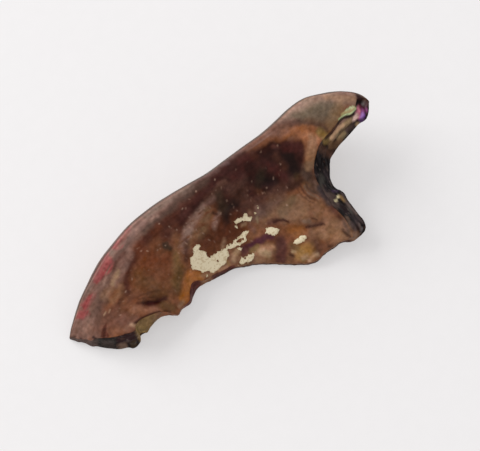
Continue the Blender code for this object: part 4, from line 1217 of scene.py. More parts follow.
    def fine_plan(self, coarse: np.ndarray, rim: np.ndarray) -> np.ndarray:
        """A finer grid of plan points inside a finer rim.

        Args:
            coarse: The solid's grid.
            rim: The finer rim.

        Returns:
            The finer grid.
        """
        u = np.linspace(0.0, self.solid_along, self.cells_along + 1)
        v = np.linspace(0.0, self.solid_across, self.cells_across + 1)
        row = np.minimum(u.astype(int), self.solid_along - 1)
        column = np.minimum(v.astype(int), self.solid_across - 1)
        down = (u - row)[:, None, None]
        over = (v - column)[None, :, None]
        near = coarse[row][:, column] * (1 - over) + coarse[row][:, column + 1] * over
        far = coarse[row + 1][:, column] * (1 - over) + coarse[row + 1][:, column + 1] * over
        grid = near * (1 - down) + far * down
        ridge, beak_end, flange, root_break = self.sides(rim, self.cells_along, self.cells_across)
        grid[:, 0], grid[:, -1] = ridge, flange
        grid[0], grid[-1] = root_break, beak_end
        return self.eased(grid, self.finer_rounds)

    def sheet_through(self, spots: np.ndarray) -> Callable[[np.ndarray], np.ndarray]:
        """The smoothest sheet through spot heights.

        Args:
            spots: Rows of x, y and height.

        Returns:
            A function that gives the height at plan points.
        """

        def bend(gaps: np.ndarray) -> np.ndarray:
            """The sheet's bending term at these gaps in plan."""
            squared = (gaps**2).sum(axis=-1)
            return squared * np.log(squared + 1e-12)

        where, heights = spots[:, :2], spots[:, 2]
        count = len(spots)
        tilt = np.column_stack([np.ones(count), where])
        system = np.zeros((count + 3, count + 3))
        system[:count, :count] = bend(where[:, None] - where[None])
        system[:count, :count] += self.sheet_ease * np.eye(count)
        system[:count, count:] = tilt
        system[count:, :count] = tilt.T
        weights = np.linalg.solve(system, np.concatenate([heights, np.zeros(3)]))

        def height(plan: np.ndarray) -> np.ndarray:
            """The sheet's height.

            Args:
                plan: Points in plan.

            Returns:
                One height for each point.
            """
            flat = plan.reshape(-1, 2)
            curved = bend(flat[:, None] - where[None]) @ weights[:count]
            tilted = weights[count] + flat @ weights[count + 1 :]
            return (curved + tilted).reshape(plan.shape[:-1])

        return height

    def dented(self, plan: np.ndarray) -> np.ndarray:
        """How deep the dents are.

        Args:
            plan: Points in plan.

        Returns:
            One depth for each point.
        """
        depth = np.zeros(plan.shape[:-1])
        for x, y, half_length, half_width, turn, deep in self.dents:
            away = plan - np.array((x, y))
            cos, sin = math.cos(math.radians(turn)), math.sin(math.radians(turn))
            lengthwise = (away[..., 0] * cos + away[..., 1] * sin) / half_length
            crosswise = (away[..., 1] * cos - away[..., 0] * sin) / half_width
            depth += deep * np.exp(-(lengthwise**2 + crosswise**2) / 2)
        return depth

    @staticmethod
    def border(grid: np.ndarray) -> np.ndarray:
        """The outer points of a grid, in the order of the rim."""
        return np.concatenate([grid[:-1, 0], grid[-1, :-1], grid[:0:-1, -1], grid[0, :0:-1]])

    def band_shares(self) -> np.ndarray:
        """How far down the walls each ring between the rims is, as shares."""
        return np.linspace(0.0, 1.0, self.bands + 1)[1:-1]

    def wall_rings(self, top: np.ndarray, foot: np.ndarray) -> list[np.ndarray]:
        """The rings between the rims: rolled at the ridge, stepped at the beak, else straight.

        Args:
            top: The crown's border.
            foot: The base's border.

        Returns:
            The rings, from the top down.
        """
        place = np.arange(len(top))
        ridge_side = place <= self.cells_along
        beak_share = (place - self.cells_along) / self.cells_across
        enters, leaves = (
            smooth_step(limit - self.ledge_fade, limit + self.ledge_fade, beak_share)
            for limit in (self.ledge_start, self.ledge_end)
        )
        stepped = enters * (1.0 - leaves)
        corners = np.linspace(0.0, 1.0, len(self.ledges))
        outs, drops = zip(*self.ledges)
        way = foot - top
        rings = []
        for down in self.band_shares():
            angle = down * self.roll_angle
            out = math.sin(angle) / math.sin(self.roll_angle)
            drop = (1 - math.cos(angle)) / (1 - math.cos(self.roll_angle))
            step = np.array([np.interp(down, corners, outs), np.interp(down, corners, drops)])
            shares = down + stepped[:, None] * (step - down)
            shares[ridge_side] = out, drop
            rings.append(top + way * shares[:, [0, 0, 1]])
        return rings

    def numbered_faces(self, grid_size: int, ring_size: int) -> tuple[np.ndarray, np.ndarray]:
        """The faces of the skin and their zones.

        Args:
            grid_size: How many points the crown has.
            ring_size: How many points one ring has.

        Returns:
            The faces' corners, and the number of each face's zone.
        """
        numbers = np.arange(grid_size).reshape(self.cells_along + 1, self.cells_across + 1)
        base_first = grid_size + (self.bands - 1) * ring_size
        low = numbers[:-1, :-1].ravel()
        cells = np.stack([low, low + 1, low + self.cells_across + 2, low + self.cells_across + 1], axis=1)
        rings = [self.border(numbers)]
        rings += [grid_size + band * ring_size + np.arange(ring_size) for band in range(self.bands - 1)]
        rings.append(self.border(numbers) + base_first)
        walls = []
        for upper, lower in zip(rings, rings[1:]):
            walls.append(np.stack([upper, np.roll(upper, -1), np.roll(lower, -1), lower], axis=1))
        enamel_ring = np.arange(ring_size) < self.cells_along
        wall_zones = np.where(enamel_ring, Zone.ENAMEL.value, Zone.BREAK.value)
        zones = [np.full(len(cells), Zone.ENAMEL.value)]
        zones += [wall_zones] * self.bands
        zones.append(np.full(len(cells), Zone.DENTINE.value))
        return np.vstack([cells, *walls, cells[:, ::-1] + base_first]), np.concatenate(zones)

    def skin(self) -> Skin:
        """The whole skin, before its relief.

        Returns:
            The skin.
        """
        rim = self.closed_rim(self.solid_along, self.solid_across)
        foot = self.lower_rim(rim)
        crest = self.smooth_line(self.crest_line, self.crest_samples)
        crown_height = self.sheet_through(np.vstack([rim[::2, :3], crest, np.array(self.crown_spots)]))
        base_height = self.sheet_through(np.vstack([foot[::2], np.array(self.base_spots)]))
        fine_rim = self.closed_rim(self.cells_along, self.cells_across)
        crown_plan = self.fine_plan(self.coarse_plan(rim), fine_rim)
        base_plan = self.fine_plan(self.coarse_plan(foot), self.lower_rim(fine_rim))
        crown = np.dstack([crown_plan, crown_height(crown_plan) - self.dented(crown_plan)])
        base = np.dstack([base_plan, np.maximum(base_height(base_plan), 0.0)])
        rings = self.wall_rings(self.border(crown), self.border(base))
        grid = np.indices(crown_plan.shape[:2]).transpose(1, 2, 0) * GROWTH_SPAN
        growth = grid / np.array([self.cells_along, self.cells_across])
        grid_size, ring_size = crown_plan.size // 2, len(rings[0])
        on_ridge = np.arange(ring_size) <= self.cells_along
        ring_zones = np.where(on_ridge, Zone.ENAMEL.value, Zone.BREAK.value)
        zones = [np.full(grid_size, Zone.ENAMEL.value), *[ring_zones] * len(rings)]
        zones.append(np.full(grid_size, Zone.DENTINE.value))
        ring_growth = [self.border(growth) - [0.0, FLANK_SPAN * share] for share in self.band_shares()]
        growth = np.vstack([growth.reshape(-1, 2), *ring_growth, growth.reshape(-1, 2)])
        ring_down = np.repeat(self.band_shares(), ring_size)
        down = np.concatenate([np.zeros(grid_size), ring_down, np.ones(grid_size)])
        faces, face_zones = self.numbered_faces(grid_size, ring_size)
        points = np.vstack([crown.reshape(-1, 3), *rings, base.reshape(-1, 3)])
        return Skin(points, np.concatenate(zones), growth, down, faces, face_zones)


@dataclass(frozen=True)
class MineralCrust:
    """The cream crust that clings to the flange.

    Attributes:
        height: How far it stands above the enamel.
        edge: Depths inside its outline between which it rises to that height.
        ragged: How far its outline wanders.
        off_enamel: Depth that is kept where there is no enamel for it.
    """

    height: float = 0.09
    edge: Span = (-0.03, 0.08)
    ragged: float = 0.12
    off_enamel: float = -1.0

    def depth(self, skin: Skin) -> np.ndarray:
        """How far the skin's points are inside the crust.

        Args:
            skin: The skin.

        Returns:
            One depth for each point, negative outside the crust.
        """
        plan = skin.points[:, :2]
        wander = np.stack([layered_noise(plan, 0.36, seed) for seed in (61, 67)], axis=1)
        moved = plan + self.ragged * wander
        depth = np.max([inside_depth(moved, flake) for flake in CRUST_FLAKES], axis=0)
        depth = np.minimum(depth, -inside_depth(moved, CRUST_HOLE))
        depth = np.minimum(depth, line_distance(plan, (CRUST_PIT,)) - CRUST_PIT_RADIUS)
        for middle, radius in CRUST_GRAINS:
            depth = np.maximum(depth, radius - line_distance(moved, (middle,)))
        return np.where(skin.of(Zone.ENAMEL), depth, self.off_enamel)

    def rise(self, points: np.ndarray, depth: np.ndarray) -> np.ndarray:
        """How high the crust stands on places that are so deep inside it."""
        lumpy = 1.0 + 0.15 * lattice_noise(points, 0.4, 29)
        return self.height * lumpy * smooth_step(*self.edge, depth)


@dataclass(frozen=True)
class ToothShard:
    """The fossil tooth shard: its fine mesh, its paint and its finishes.

    Attributes:
        name: Name of the piece.
        form: Its broad shape.
        crust: The crust on it.
        streak_relief: Height of the growth lines along the enamel.
        swell_relief: Height of the enamel's broad unevenness.
        chip_relief: Height of the shell-shaped chips on the broken faces.
        grit_relief: Height of the fine grain on the broken faces.
        pore_relief: Height of the grain of the underside.
        crust_reach: Greatest depth in or out of the crust that the mesh keeps.
    """

    name: str = "tooth_shard"
    form: ShardForm = ShardForm()
    crust: MineralCrust = MineralCrust()
    streak_relief: float = 0.012
    swell_relief: float = 0.03
    chip_relief: float = 0.05
    grit_relief: float = 0.02
    pore_relief: float = 0.07
    crust_reach: float = 0.5

    def relief(self, skin: Skin) -> np.ndarray:
        """How far each point of the skin stands out from the broad shape, without the crust.

        Args:
            skin: The skin.

        Returns:
            One height for each point.
        """
        enamel, broken, dentine = (skin.of(zone) for zone in Zone)
        height = np.zeros(len(skin.points))
        points = skin.points[enamel]
        swell = layered_noise(points, 2.2, 11, 2)
        streaks = layered_noise(points * RELIEF_GRAIN, 0.3, 13, 2)
        height[enamel] = self.swell_relief * swell + self.streak_relief * streaks
        height[enamel] -= sum(groove.sink(points[:, :2]) for groove in GROOVES)
        points = skin.points[broken]
        ridged = 1.0 - 2.0 * np.abs(layered_noise(points, 0.8, 17))
        height[broken] = self.chip_relief * ridged + self.grit_relief * lattice_noise(points, 0.2, 19)
        pores = layered_noise(skin.points[dentine], 0.5, 23)
        height[dentine] = self.pore_relief * pores * smooth_step(0.1, 0.8, rim_gap(skin.growth[dentine]))
        return height

    def paint(self, skin: Skin) -> np.ndarray:
        """The colour of each point of the skin.

        Args:
            skin: The skin.

        Returns:
            Linear colours, n by 3.
        """
        colour = np.zeros((len(skin.points), 3))
        enamel, broken, dentine = (skin.of(zone) for zone in Zone)
        colour[enamel] = self.enamel_colour(skin.points[enamel], skin.growth[enamel], skin.down[enamel])
        colour[broken] = self.break_colour(skin.points[broken], skin.down[broken])
        colour[dentine] = self.dentine_colour(skin.points[dentine], skin.growth[dentine])
        return colour

    @staticmethod
    def wander(points: np.ndarray, seed: int) -> np.ndarray:
        """Small moves in plan by noise, so that the marks' edges look grown, not drawn."""
        seeds = (seed, seed + WANDER_SEEDS_APART)
        return np.stack([layered_noise(points, WANDER_CELL, each, 4) for each in seeds], axis=1)

    @staticmethod
    def mottled(colour: np.ndarray, points: np.ndarray, growth: np.ndarray) -> np.ndarray:
        """Enamel colours with streaks along the growth lines, and clouds that are redder or more olive.

        Args:
            colour: Linear colours, n by 3.
            points: Places, n by 3.
            growth: Places along and across the growth lines.

        Returns:
            The changed colours.
        """
        crown = smooth_step(-1.8, -0.8, growth[:, 1])

        def grown(cell: float, seed: int, layers: int) -> np.ndarray:
            """Noise that is even on the crown and drawn out along the shard on the flank.

            Args:
                cell: Size of the broadest layer's cells.
                seed: Number that picks the pattern.
                layers: How many layers are added.

            Returns:
                One value for each place.
            """
            even = layered_noise(points, cell, seed, layers)
            drawn = layered_noise(points * FLANK_GRAIN, cell, seed, layers)
            return drawn + crown * (even - drawn)

        by_ridge = 1.0 - smooth_step(2.0, 4.0, growth[:, 1])
        on_ridge = 0.8 * by_ridge * smooth_step(-1.6, -0.8, growth[:, 1])
        on_beak = smooth_step(7.6, 9.0, points[:, 0] + 0.6 * (points[:, 1] - 3.0))
        by_root = 1.0 - smooth_step(-12.2, -10.4, points[:, 0])
        calm = 1.0 - 0.6 * np.maximum(on_ridge, np.maximum(on_beak, by_root))
        streaks = layered_noise(growth * STREAK_GRAIN, 0.42, 109, 4) * (0.4 + 0.9 * by_ridge)
        dark = 1.0 - smooth_step(0.01, 0.06, colour.mean(axis=1))
        clouds = grown(0.9, 113, 4) * (0.2 + 0.25 * dark)
        blots = grown(0.42, 167, 3) * (0.22 + 0.12 * dark)
        level = 1.0 + 0.24 * streaks + calm * (clouds + blots) + 0.2 * grown(0.2, 127, 2)
        redder = (calm * grown(0.6, 131, 4))[:, None] * REDDER
        mossier = (calm * grown(0.45, 173, 3))[:, None] * MOSSIER
        hueless = 0.5 * (colour + colour.mean(axis=1, keepdims=True))
        return colour * (1.0 + redder + mossier) + (level[:, None] - 1.0) * hueless

    def enamel_colour(self, points: np.ndarray, growth: np.ndarray, down: np.ndarray) -> np.ndarray:
        """Colours of the enamel, from broad fields to fine marks.

        Args:
            points: Places, n by 3.
            growth: Places along and across the growth lines.
            down: Shares of the way down the hidden flank.

        Returns:
            Linear colours, n by 3.
        """
        plan = points[:, :2]
        colour = np.tile(linear(Tint.UMBER), (len(points), 1))
        # A pale rose-grey band along the ridge: partly the enamel's own tone, partly painted sheen along the
        # crest.
        blend(colour, linear(Tint.ROSE_GREY), 0.8 * (1.0 - smooth_step(0.2, 0.5, growth[:, 1])))
        lay(colour, plan + 0.3 * self.wander(points, 101), FIELDS + STREAKS)
        near = plan + 0.18 * self.wander(points, 103)
        for marks, cell, seed in ((PALE_STREAKS, 0.24, 223), (RED_STAINS, 0.4, 197)):
            bare = colour.copy()
            lay(colour, near, marks)
            torn = smooth_step(-0.75, 0.0, layered_noise(growth * TEAR_GRAIN, cell, seed))
            colour = bare + torn[:, None] * (colour - bare)
        lay(colour, near, COLLAR + TROUGH_CLOUDS + FLANGE_MARKS)
        lay(colour, plan + 0.05 * self.wander(points, 107), ROOT_MARKS + BEAK_MARKS)
        lay(colour, plan, self.specks())
        # Painted shade: a dark band where the crest rolls over into the hidden flank. It stands for the dark
        # reflection at that turn and starts a little deeper towards the beak.
        late = 0.12 * smooth_step(12.6, 13.6, points[:, 0])
        blend(colour, linear(Tint.GREEN_BLACK), 0.85 * smooth_step(0.1, 0.2, down - late))
        edge = down + 0.05 * layered_noise(points, 1.2, 181)
        blend(colour, self.flank_colour(points, growth), smooth_step(0.24, 0.46, edge))
        return self.mottled(colour, points, growth)

    def flank_colour(self, points: np.ndarray, growth: np.ndarray) -> np.ndarray:
        """Colours of the hidden flank, banded along the growth lines.

        Args:
            points: Places, n by 3.
            growth: Places along and across the growth lines.

        Returns:
            Linear colours, n by 3.
        """
        colour = np.tile(linear(Tint.UMBER_DARK), (len(points), 1))
        bands = layered_noise(growth * BAND_GRAIN, 0.7, 191, 4)
        blend(colour, linear(Tint.SMOKE_BROWN), 0.7 * smooth_step(0.0, 0.5, bands))
        blend(colour, linear(Tint.UMBER), 0.6 * smooth_step(0.1, 0.5, -bands))
        drift = FLANK_REACH * self.wander(points * FLANK_GRAIN, 193)
        lay(colour, points[:, [0, 2]] + drift, FLANK_MARKS)
        return colour

    @staticmethod
    def specks() -> tuple[Stroke, ...]:
        """Pale specks on the crown, each a little longer than broad: the placed ones, then faint strewn ones.

        Returns:
            One stroke for each speck.
        """
        dice = np.random.default_rng(SPECK_SEED)
        strewn = np.column_stack([dice.uniform(*span, FAINT_SPECKS) for span in STREWN_OVER])
        places = np.vstack([np.array(SPECKS), strewn])
        placed = np.ones(len(SPECKS))
        sizes = np.concatenate([SPECK_SIZE * placed, dice.uniform(*FAINT_SIZES, FAINT_SPECKS)])
        strengths = np.concatenate([SPECK_STRENGTH * placed, dice.uniform(*FAINT_STRENGTHS, FAINT_SPECKS)])
        ends = places + dice.uniform(-SPECK_RUN, SPECK_RUN, places.shape)
        rows = zip(sizes.tolist(), strengths.tolist(), places.tolist(), ends.tolist())
        return tuple(
            Stroke("speck", Tint.SPECK, size, SPECK_SOFTNESS, strength, (tuple(start), tuple(end)))
            for size, strength, start, end in rows
        )

    def break_colour(self, points: np.ndarray, down: np.ndarray) -> np.ndarray:
        """Colours of the broken faces: near black, with marks, ledges and flecks, among them painted glints
        and a painted shadow under the ledges.

        Args:
            points: Places, n by 3.
            down: Shares of the way down the faces.

        Returns:
            Linear colours, n by 3.
        """
        plan = points[:, :2]
        colour = np.tile(linear(Tint.BLACK), (len(points), 1))
        blend(colour, linear(Tint.SLATE_DARK), 0.6 * smooth_step(0.1, 0.6, layered_noise(points, 0.5, 137)))
        reach = 0.06 + 0.12 * (1.0 - smooth_step(4.0, 6.0, points[:, :1]))
        lay(colour, plan + reach * self.wander(points, 139), BREAK_MARKS)
        blend(colour, linear(FLANGE_FOOT.tint), FLANGE_FOOT.cover(plan) * smooth_step(0.25, 0.6, down))
        depth = down - LEDGE_SINK * smooth_step(*LEDGE_SINK_SPAN, points[:, 0])
        for mark, start, end in LEDGE_MARKS:
            begun = smooth_step(start - LEDGE_FADE_OUT, start + LEDGE_FADE_IN, depth)
            ended = smooth_step(end - LEDGE_FADE_IN, end + LEDGE_FADE_OUT, depth)
            blend(colour, linear(mark.tint), mark.cover(plan) * begun * (1.0 - ended))
        # Grey flecks on the dark faces are partly the stone's own flecks and partly painted glints; the brown
        # ones are its own colour.
        for tint, seed in ((Tint.GLINT_AND_FLECK_GREY, 199), (Tint.FLECK_BROWN, 211)):
            fleck = smooth_step(0.3, 0.55, layered_noise(points, 0.34, seed))
            dark = 1.0 - smooth_step(0.02, 0.05, colour.mean(axis=1))
            blend(colour, linear(tint), 0.4 * fleck * dark)
        return colour * (1.0 + 0.35 * layered_noise(points, 0.3, 149))[:, None]

    @staticmethod
    def dentine_colour(points: np.ndarray, growth: np.ndarray) -> np.ndarray:
        """Colours of the worn underside, dark where the enamel's edge shows at its rim.

        Args:
            points: Places, n by 3.
            growth: Places along and across the growth lines.

        Returns:
            Linear colours, n by 3.
        """
        colour = np.tile(linear(Tint.DENTINE), (len(points), 1))
        dark = smooth_step(-0.1, 0.5, layered_noise(points, 2.4, 151, 4))
        blend(colour, linear(Tint.DENTINE_DARK), 0.8 * dark)
        pale = smooth_step(0.15, 0.45, layered_noise(points, 0.9, 157, 4))
        blend(colour, linear(Tint.DENTINE_PALE), 0.7 * pale)
        colour *= (1.0 + 0.15 * layered_noise(points, 0.25, 163, 2))[:, None]
        gap = rim_gap(growth) + 0.25 * layered_noise(points, 0.7, 179)
        blend(colour, linear(Tint.DENTINE_DARK), 0.7 * (1.0 - smooth_step(0.5, 1.3, gap)))
        blend(colour, linear(Tint.MAHOGANY), 0.95 * (1.0 - smooth_step(0.2, 0.5, gap)))
        return colour

    def mesh(self, skin: Skin) -> bpy.types.Mesh:
        """The mesh of the shard, in metres.

        Args:
            skin: The skin, before its relief.

        Returns:
            The mesh, with the attributes tint and crust.
        """
        mesh = bpy.data.meshes.new(self.name)
        mesh.from_pydata(skin.points.tolist(), [], skin.faces.tolist())
        normals = np.zeros(skin.points.size)
        mesh.vertex_normals.foreach_get("vector", normals)
        crust_depth = self.crust.depth(skin)
        rise = self.relief(skin) + self.crust.rise(skin.points, crust_depth)
        raised = skin.points + normals.reshape(-1, 3) * rise[:, None]
        placed = np.clip(raised * MM, np.array(CAD_BOX[0]), np.array(CAD_BOX[1]))
        mesh.vertices.foreach_set("co", placed.ravel())
        tint = mesh.color_attributes.new("tint", "FLOAT_COLOR", "POINT")
        opaque = np.column_stack([self.paint(skin), np.ones(len(skin.points))])
        tint.data.foreach_set("color", opaque.ravel())
        crust = mesh.attributes.new("crust", "FLOAT", "POINT")
        crust.data.foreach_set("value", np.clip(crust_depth, -self.crust_reach, self.crust_reach))
        mesh.polygons.foreach_set("material_index", skin.face_zones.astype(np.int32))
        mesh.shade_smooth()
        mesh.update()
        return mesh

    def build(self) -> bpy.types.Object:
        """Builds the shard, dresses it and hands it to the frame.

        Returns:
            The piece.
        """
        piece = bpy.data.objects.new(self.name, self.mesh(self.form.skin()))
        for finish in (EnamelFinish(), BreakFinish(), DentineFinish()):
            piece.data.materials.append(finish.material())
        bpy.context.scene.collection.objects.link(piece)
        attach(piece, BODY)
        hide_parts(NODE)
        LOG.info("%s: %d faces", piece.name, len(piece.data.polygons))
        return piece


class Mix(Enum):
    """What a mix node mixes: its data type, and the type of its sockets."""

    COLOURS = ("RGBA", "RGBA")
    NUMBERS = ("FLOAT", "VALUE")


class NodeBench:
    """Adds and joins the nodes of one material."""

    def __init__(self, name: str) -> None:
        """Starts a material with its plain shader.

        Args:
            name: Name of the material.
        """
        self.made = bpy.data.materials.new(name)
        self.made.use_nodes = True
        self.tree = self.made.node_tree
        self.shader = self.tree.nodes["Principled BSDF"]

    def add(self, kind: str, **values: object) -> bpy.types.Node:
        """Adds a node.

        Args:
            kind: Its Blender type.
            **values: Its properties.

        Returns:
            The node.
        """
        node = self.tree.nodes.new(kind)
        for key, value in values.items():
            setattr(node, key, value)
        return node

    def put(self, value: Socket | float | tuple, target: Socket) -> None:
        """Joins a value to a socket, or sets it there if it is a plain number or colour.

        Args:
            value: The value.
            target: The socket that takes it.
        """
        if isinstance(value, Socket):
            self.tree.links.new(value, target)
        else:
            target.default_value = value

    def noise(self, scale: float, detail: float, packing: Triple = (1.0, 1.0, 1.0)) -> Socket:
        """Noise in the object's own space.

        Args:
            scale: Noise cells to a metre.
            detail: Layers of finer noise.
            packing: How the noise is packed along each axis.

        Returns:
            The noise's value, from 0 to 1.
        """
        place = self.add("ShaderNodeTexCoord")
        mapping = self.add("ShaderNodeMapping")
        texture = self.add("ShaderNodeTexNoise")
        self.put(place.outputs["Object"], mapping.inputs["Vector"])
        self.put(packing, mapping.inputs["Scale"])
        self.put(mapping.outputs["Vector"], texture.inputs["Vector"])
        self.put(scale, texture.inputs["Scale"])
        self.put(detail, texture.inputs["Detail"])
        return texture.outputs["Fac"]

    def ranged(self, value: Socket, target: Span, source: Span = NOISE_SPAN) -> Socket:
        """A value moved from one range to another, held at its ends.

        Args:
            value: The value.
            target: The range that it goes to.
            source: The range that it comes from.

        Returns:
            The moved value.
        """
        node = self.add("ShaderNodeMapRange", clamp=True)
        node.inputs["From Min"].default_value, node.inputs["From Max"].default_value = source
        node.inputs["To Min"].default_value, node.inputs["To Max"].default_value = target
        self.put(value, node.inputs["Value"])
        return node.outputs["Result"]

    def maths(self, operation: str, first: Socket, second: Socket | float) -> Socket:
        """Two values worked into one.

        Args:
            operation: Blender's name for the working.
            first: The first value.
            second: The second value.

        Returns:
            The result.
        """
        node = self.add("ShaderNodeMath", operation=operation)
        self.put(first, node.inputs[0])
        self.put(second, node.inputs[1])
        return node.outputs["Value"]

    def mixed(
        self, kind: Mix, share: Socket, first: Socket | tuple, second: Socket | tuple | float,
    ) -> Socket:
        """Two colours or numbers mixed.

        Args:
            kind: Which of the two they are.
            share: Share of the second one.
            first: The first one.
            second: The second one.

        Returns:
            The mix.
        """
        data_type, socket_type = kind.value
        node = self.add("ShaderNodeMix", data_type=data_type)
        self.put(share, node.inputs["Factor"])
        ends = [socket for socket in node.inputs if socket.type == socket_type and socket.name in ("A", "B")]
        for value, end in zip((first, second), ends):
            self.put(value, end)
        return next(socket for socket in node.outputs if socket.type == socket_type)

    def stored(self, name: str, output: str) -> Socket:
        """What the mesh stores under a name, as the colour or the number that the output gives."""
        return self.add("ShaderNodeAttribute", attribute_name=name).outputs[output]

    def shaded(self, colour: Socket, value: Socket, shades: Span) -> Socket:
        """A colour made darker or paler by a noise.

        Args:
            colour: The colour.
            value: The noise.
            shades: What the colour is multiplied by where the noise is low and where it is high.

        Returns:
            The shaded colour.
        """
        node = self.add("ShaderNodeVectorMath", operation="SCALE")
        self.put(colour, node.inputs[0])
        self.put(self.ranged(value, shades), node.inputs["Scale"])
        return node.outputs["Vector"]

    def raised(self, height: Socket, distance: float, strength: float) -> None:
        """Puts relief that is too fine for the mesh on the shader.

        Args:
            height: The relief, from 0 to 1.
            distance: Its height, in metres.
            strength: Share of it that shows.
        """
        node = self.add("ShaderNodeBump")
        self.put(distance, node.inputs["Distance"])
        self.put(strength, node.inputs["Strength"])
        self.put(height, node.inputs["Height"])
        self.put(node.outputs["Normal"], self.shader.inputs["Normal"])

    def finished(self, colour: Socket, roughness: Socket | float, specular: float) -> bpy.types.Material:
        """The material, with its colour and its shine on the shader.

        Args:
            colour: Its colour.
            roughness: Its roughness.
            specular: Strength of its plain reflection.

        Returns:
            The material.
        """
        self.put(colour, self.shader.inputs["Base Color"])
        self.put(roughness, self.shader.inputs["Roughness"])
        self.put(specular, self.shader.inputs["Specular IOR Level"])
        return self.made


@dataclass(frozen=True)
class EnamelFinish:
    """Glossy brown enamel with growth lines, fine specks and the cream crust.

    Attributes:
        name: Name of the material.
        specular: Strength of its plain reflection.
        gloss: Its roughness, from cloud to cloud.
        grain_gloss: What the grain adds to its roughness.
        relief: Height of its fine relief, in metres, and the share of it that shows.
        crust_stain: What the crust's colour is multiplied by where it is stained.
        crust_tear: How far noise moves the crust's edge, in millimetres.
        crust_edge: Depths between which the crust sets in, in millimetres.
        crust_roughness: Roughness of the crust.
    """

    name: str = "fossil_enamel_glossy"
    specular: float = 0.1
    gloss: Span = (0.30, 0.44)
    grain_gloss: Span = (-0.05, 0.08)
    relief: Span = (0.00003, 0.6)
    crust_stain: Triple = (0.62, 0.52, 0.40)
    crust_tear: Span = (-0.085, 0.075)
    crust_edge: Span = (-0.008, 0.008)
    crust_roughness: float = 0.92

    def crust_colour(self, bench: NodeBench, depth: Socket, crumbs: Socket) -> Socket:
        """Cream with stains, which are strongest round its rim.

        Args:
            bench: Where the nodes are made.
            depth: How far each place is inside the crust.
            crumbs: The crust's grain.

        Returns:
            The crust's colour.
        """
        cream = (*linear(Tint.CRUST), 1.0)
        stained = (*(linear(Tint.CRUST) * np.array(self.crust_stain)), 1.0)
        stains = bench.ranged(crumbs, (0.0, 0.8), (0.5, 0.72))
        colour = bench.mixed(Mix.COLOURS, stains, cream, stained)
        return bench.mixed(Mix.COLOURS, bench.ranged(depth, (0.5, 0.0), (0.0, 0.07)), colour, stained)

    def material(self) -> bpy.types.Material:
        """The enamel's material.

        Returns:
            The material.
        """
        bench = NodeBench(self.name)
        fibres = bench.noise(2600.0, 3.0, RELIEF_GRAIN)
        grain = bench.noise(3200.0, 4.0)
        clouds = bench.noise(700.0, 3.0)
        crumbs = bench.noise(5200.0, 4.0)
        colour = bench.shaded(bench.stored("tint", "Color"), fibres, (0.88, 1.12))
        colour = bench.shaded(colour, grain, (0.8, 1.2))
        depth = bench.stored("crust", "Fac")
        torn = bench.maths("ADD", depth, bench.ranged(crumbs, self.crust_tear, (0.25, 0.75)))
        crust = bench.ranged(torn, (0.0, 1.0), self.crust_edge)
        colour = bench.mixed(Mix.COLOURS, crust, colour, self.crust_colour(bench, depth, crumbs))
        gloss = bench.maths("ADD", bench.ranged(clouds, self.gloss), bench.ranged(grain, self.grain_gloss))
        roughness = bench.mixed(Mix.NUMBERS, crust, gloss, self.crust_roughness)
        halves = (bench.maths("MULTIPLY", noise, 0.5) for noise in (grain, fibres))
        bench.raised(bench.maths("ADD", *halves), *self.relief)
        return bench.finished(colour, roughness, self.specular)


@dataclass(frozen=True)
class BreakFinish:
    """Glassy near-black broken faces.

    Attributes:
        name: Name of the material.
        specular: Strength of its plain reflection.
        gloss: Its roughness, from the grain's low to its high places.
        relief: Height of its fine chips, in metres, and the share of it that shows.
    """

    name: str = "fossil_break_glassy"
    specular: float = 0.035
    gloss: Span = (0.24, 0.5)
    relief: Span = (0.0001, 0.7)

    def material(self) -> bpy.types.Material:
        """The broken faces' material.

        Returns:
            The material.
        """
        bench = NodeBench(self.name)
        grain = bench.noise(2400.0, 5.0)
        colour = bench.shaded(bench.stored("tint", "Color"), grain, (0.7, 1.3))
        bench.raised(bench.noise(1500.0, 6.0), *self.relief)
        return bench.finished(colour, bench.ranged(grain, self.gloss), self.specular)


@dataclass(frozen=True)
class DentineFinish:
    """Dull granular dentine of the worn underside.

    Attributes:
        name: Name of the material.
        specular: Strength of its plain reflection.
        dullness: Its roughness, from the grain's low to its high places.
        relief: Height of its grain, in metres, and the share of it that shows.
    """

    name: str = "fossil_dentine_dull"
    specular: float = 0.3
    dullness: Span = (0.62, 0.85)
    relief: Span = (0.00012, 0.8)

    def material(self) -> bpy.types.Material:
        """The underside's material.

        Returns:
            The material.
        """
        bench = NodeBench(self.name)
        grain = bench.noise(2800.0, 5.0)
        colour = bench.shaded(bench.stored("tint", "Color"), grain, (0.75, 1.25))
        colour = bench.shaded(colour, bench.noise(6000.0, 2.0), (0.8, 1.1))
        bench.raised(grain, *self.relief)
        return bench.finished(colour, bench.ranged(grain, self.dullness), self.specular)


@dataclass(frozen=True)
class PaperFinish:
    """Plain pale paper of the floor.

    Attributes:
        name: Name of the material.
        colour: Linear colour.
        dull_share: What its colour is multiplied by where its fibres are dullest.
        roughness: Its roughness.
        specular: Strength of its plain reflection.
        glow_colour: Colour of the light that comes through it.
        glow: Light that comes through it, as on a light table, which keeps its shadows pale.
    """

    name: str = "pale_paper"
    colour: Triple = (0.43, 0.422, 0.424)
    dull_share: float = 0.985
    roughness: float = 0.9
    specular: float = 0.1
    glow_colour: Triple = (1.0, 0.985, 0.99)
    glow: float = 0.44

    def material(self) -> bpy.types.Material:
        """The floor's material.

        Returns:
            The material.
        """
        bench = NodeBench(self.name)
        pale = (*self.colour, 1.0)
        dull = (*(self.dull_share * np.array(self.colour)), 1.0)
        share = bench.ranged(bench.noise(900.0, 4.0), (0.0, 1.0), (0.35, 0.65))
        bench.put((*self.glow_colour, 1.0), bench.shader.inputs["Emission Color"])
        bench.put(self.glow, bench.shader.inputs["Emission Strength"])
        return bench.finished(bench.mixed(Mix.COLOURS, share, pale, dull), self.roughness, self.specular)


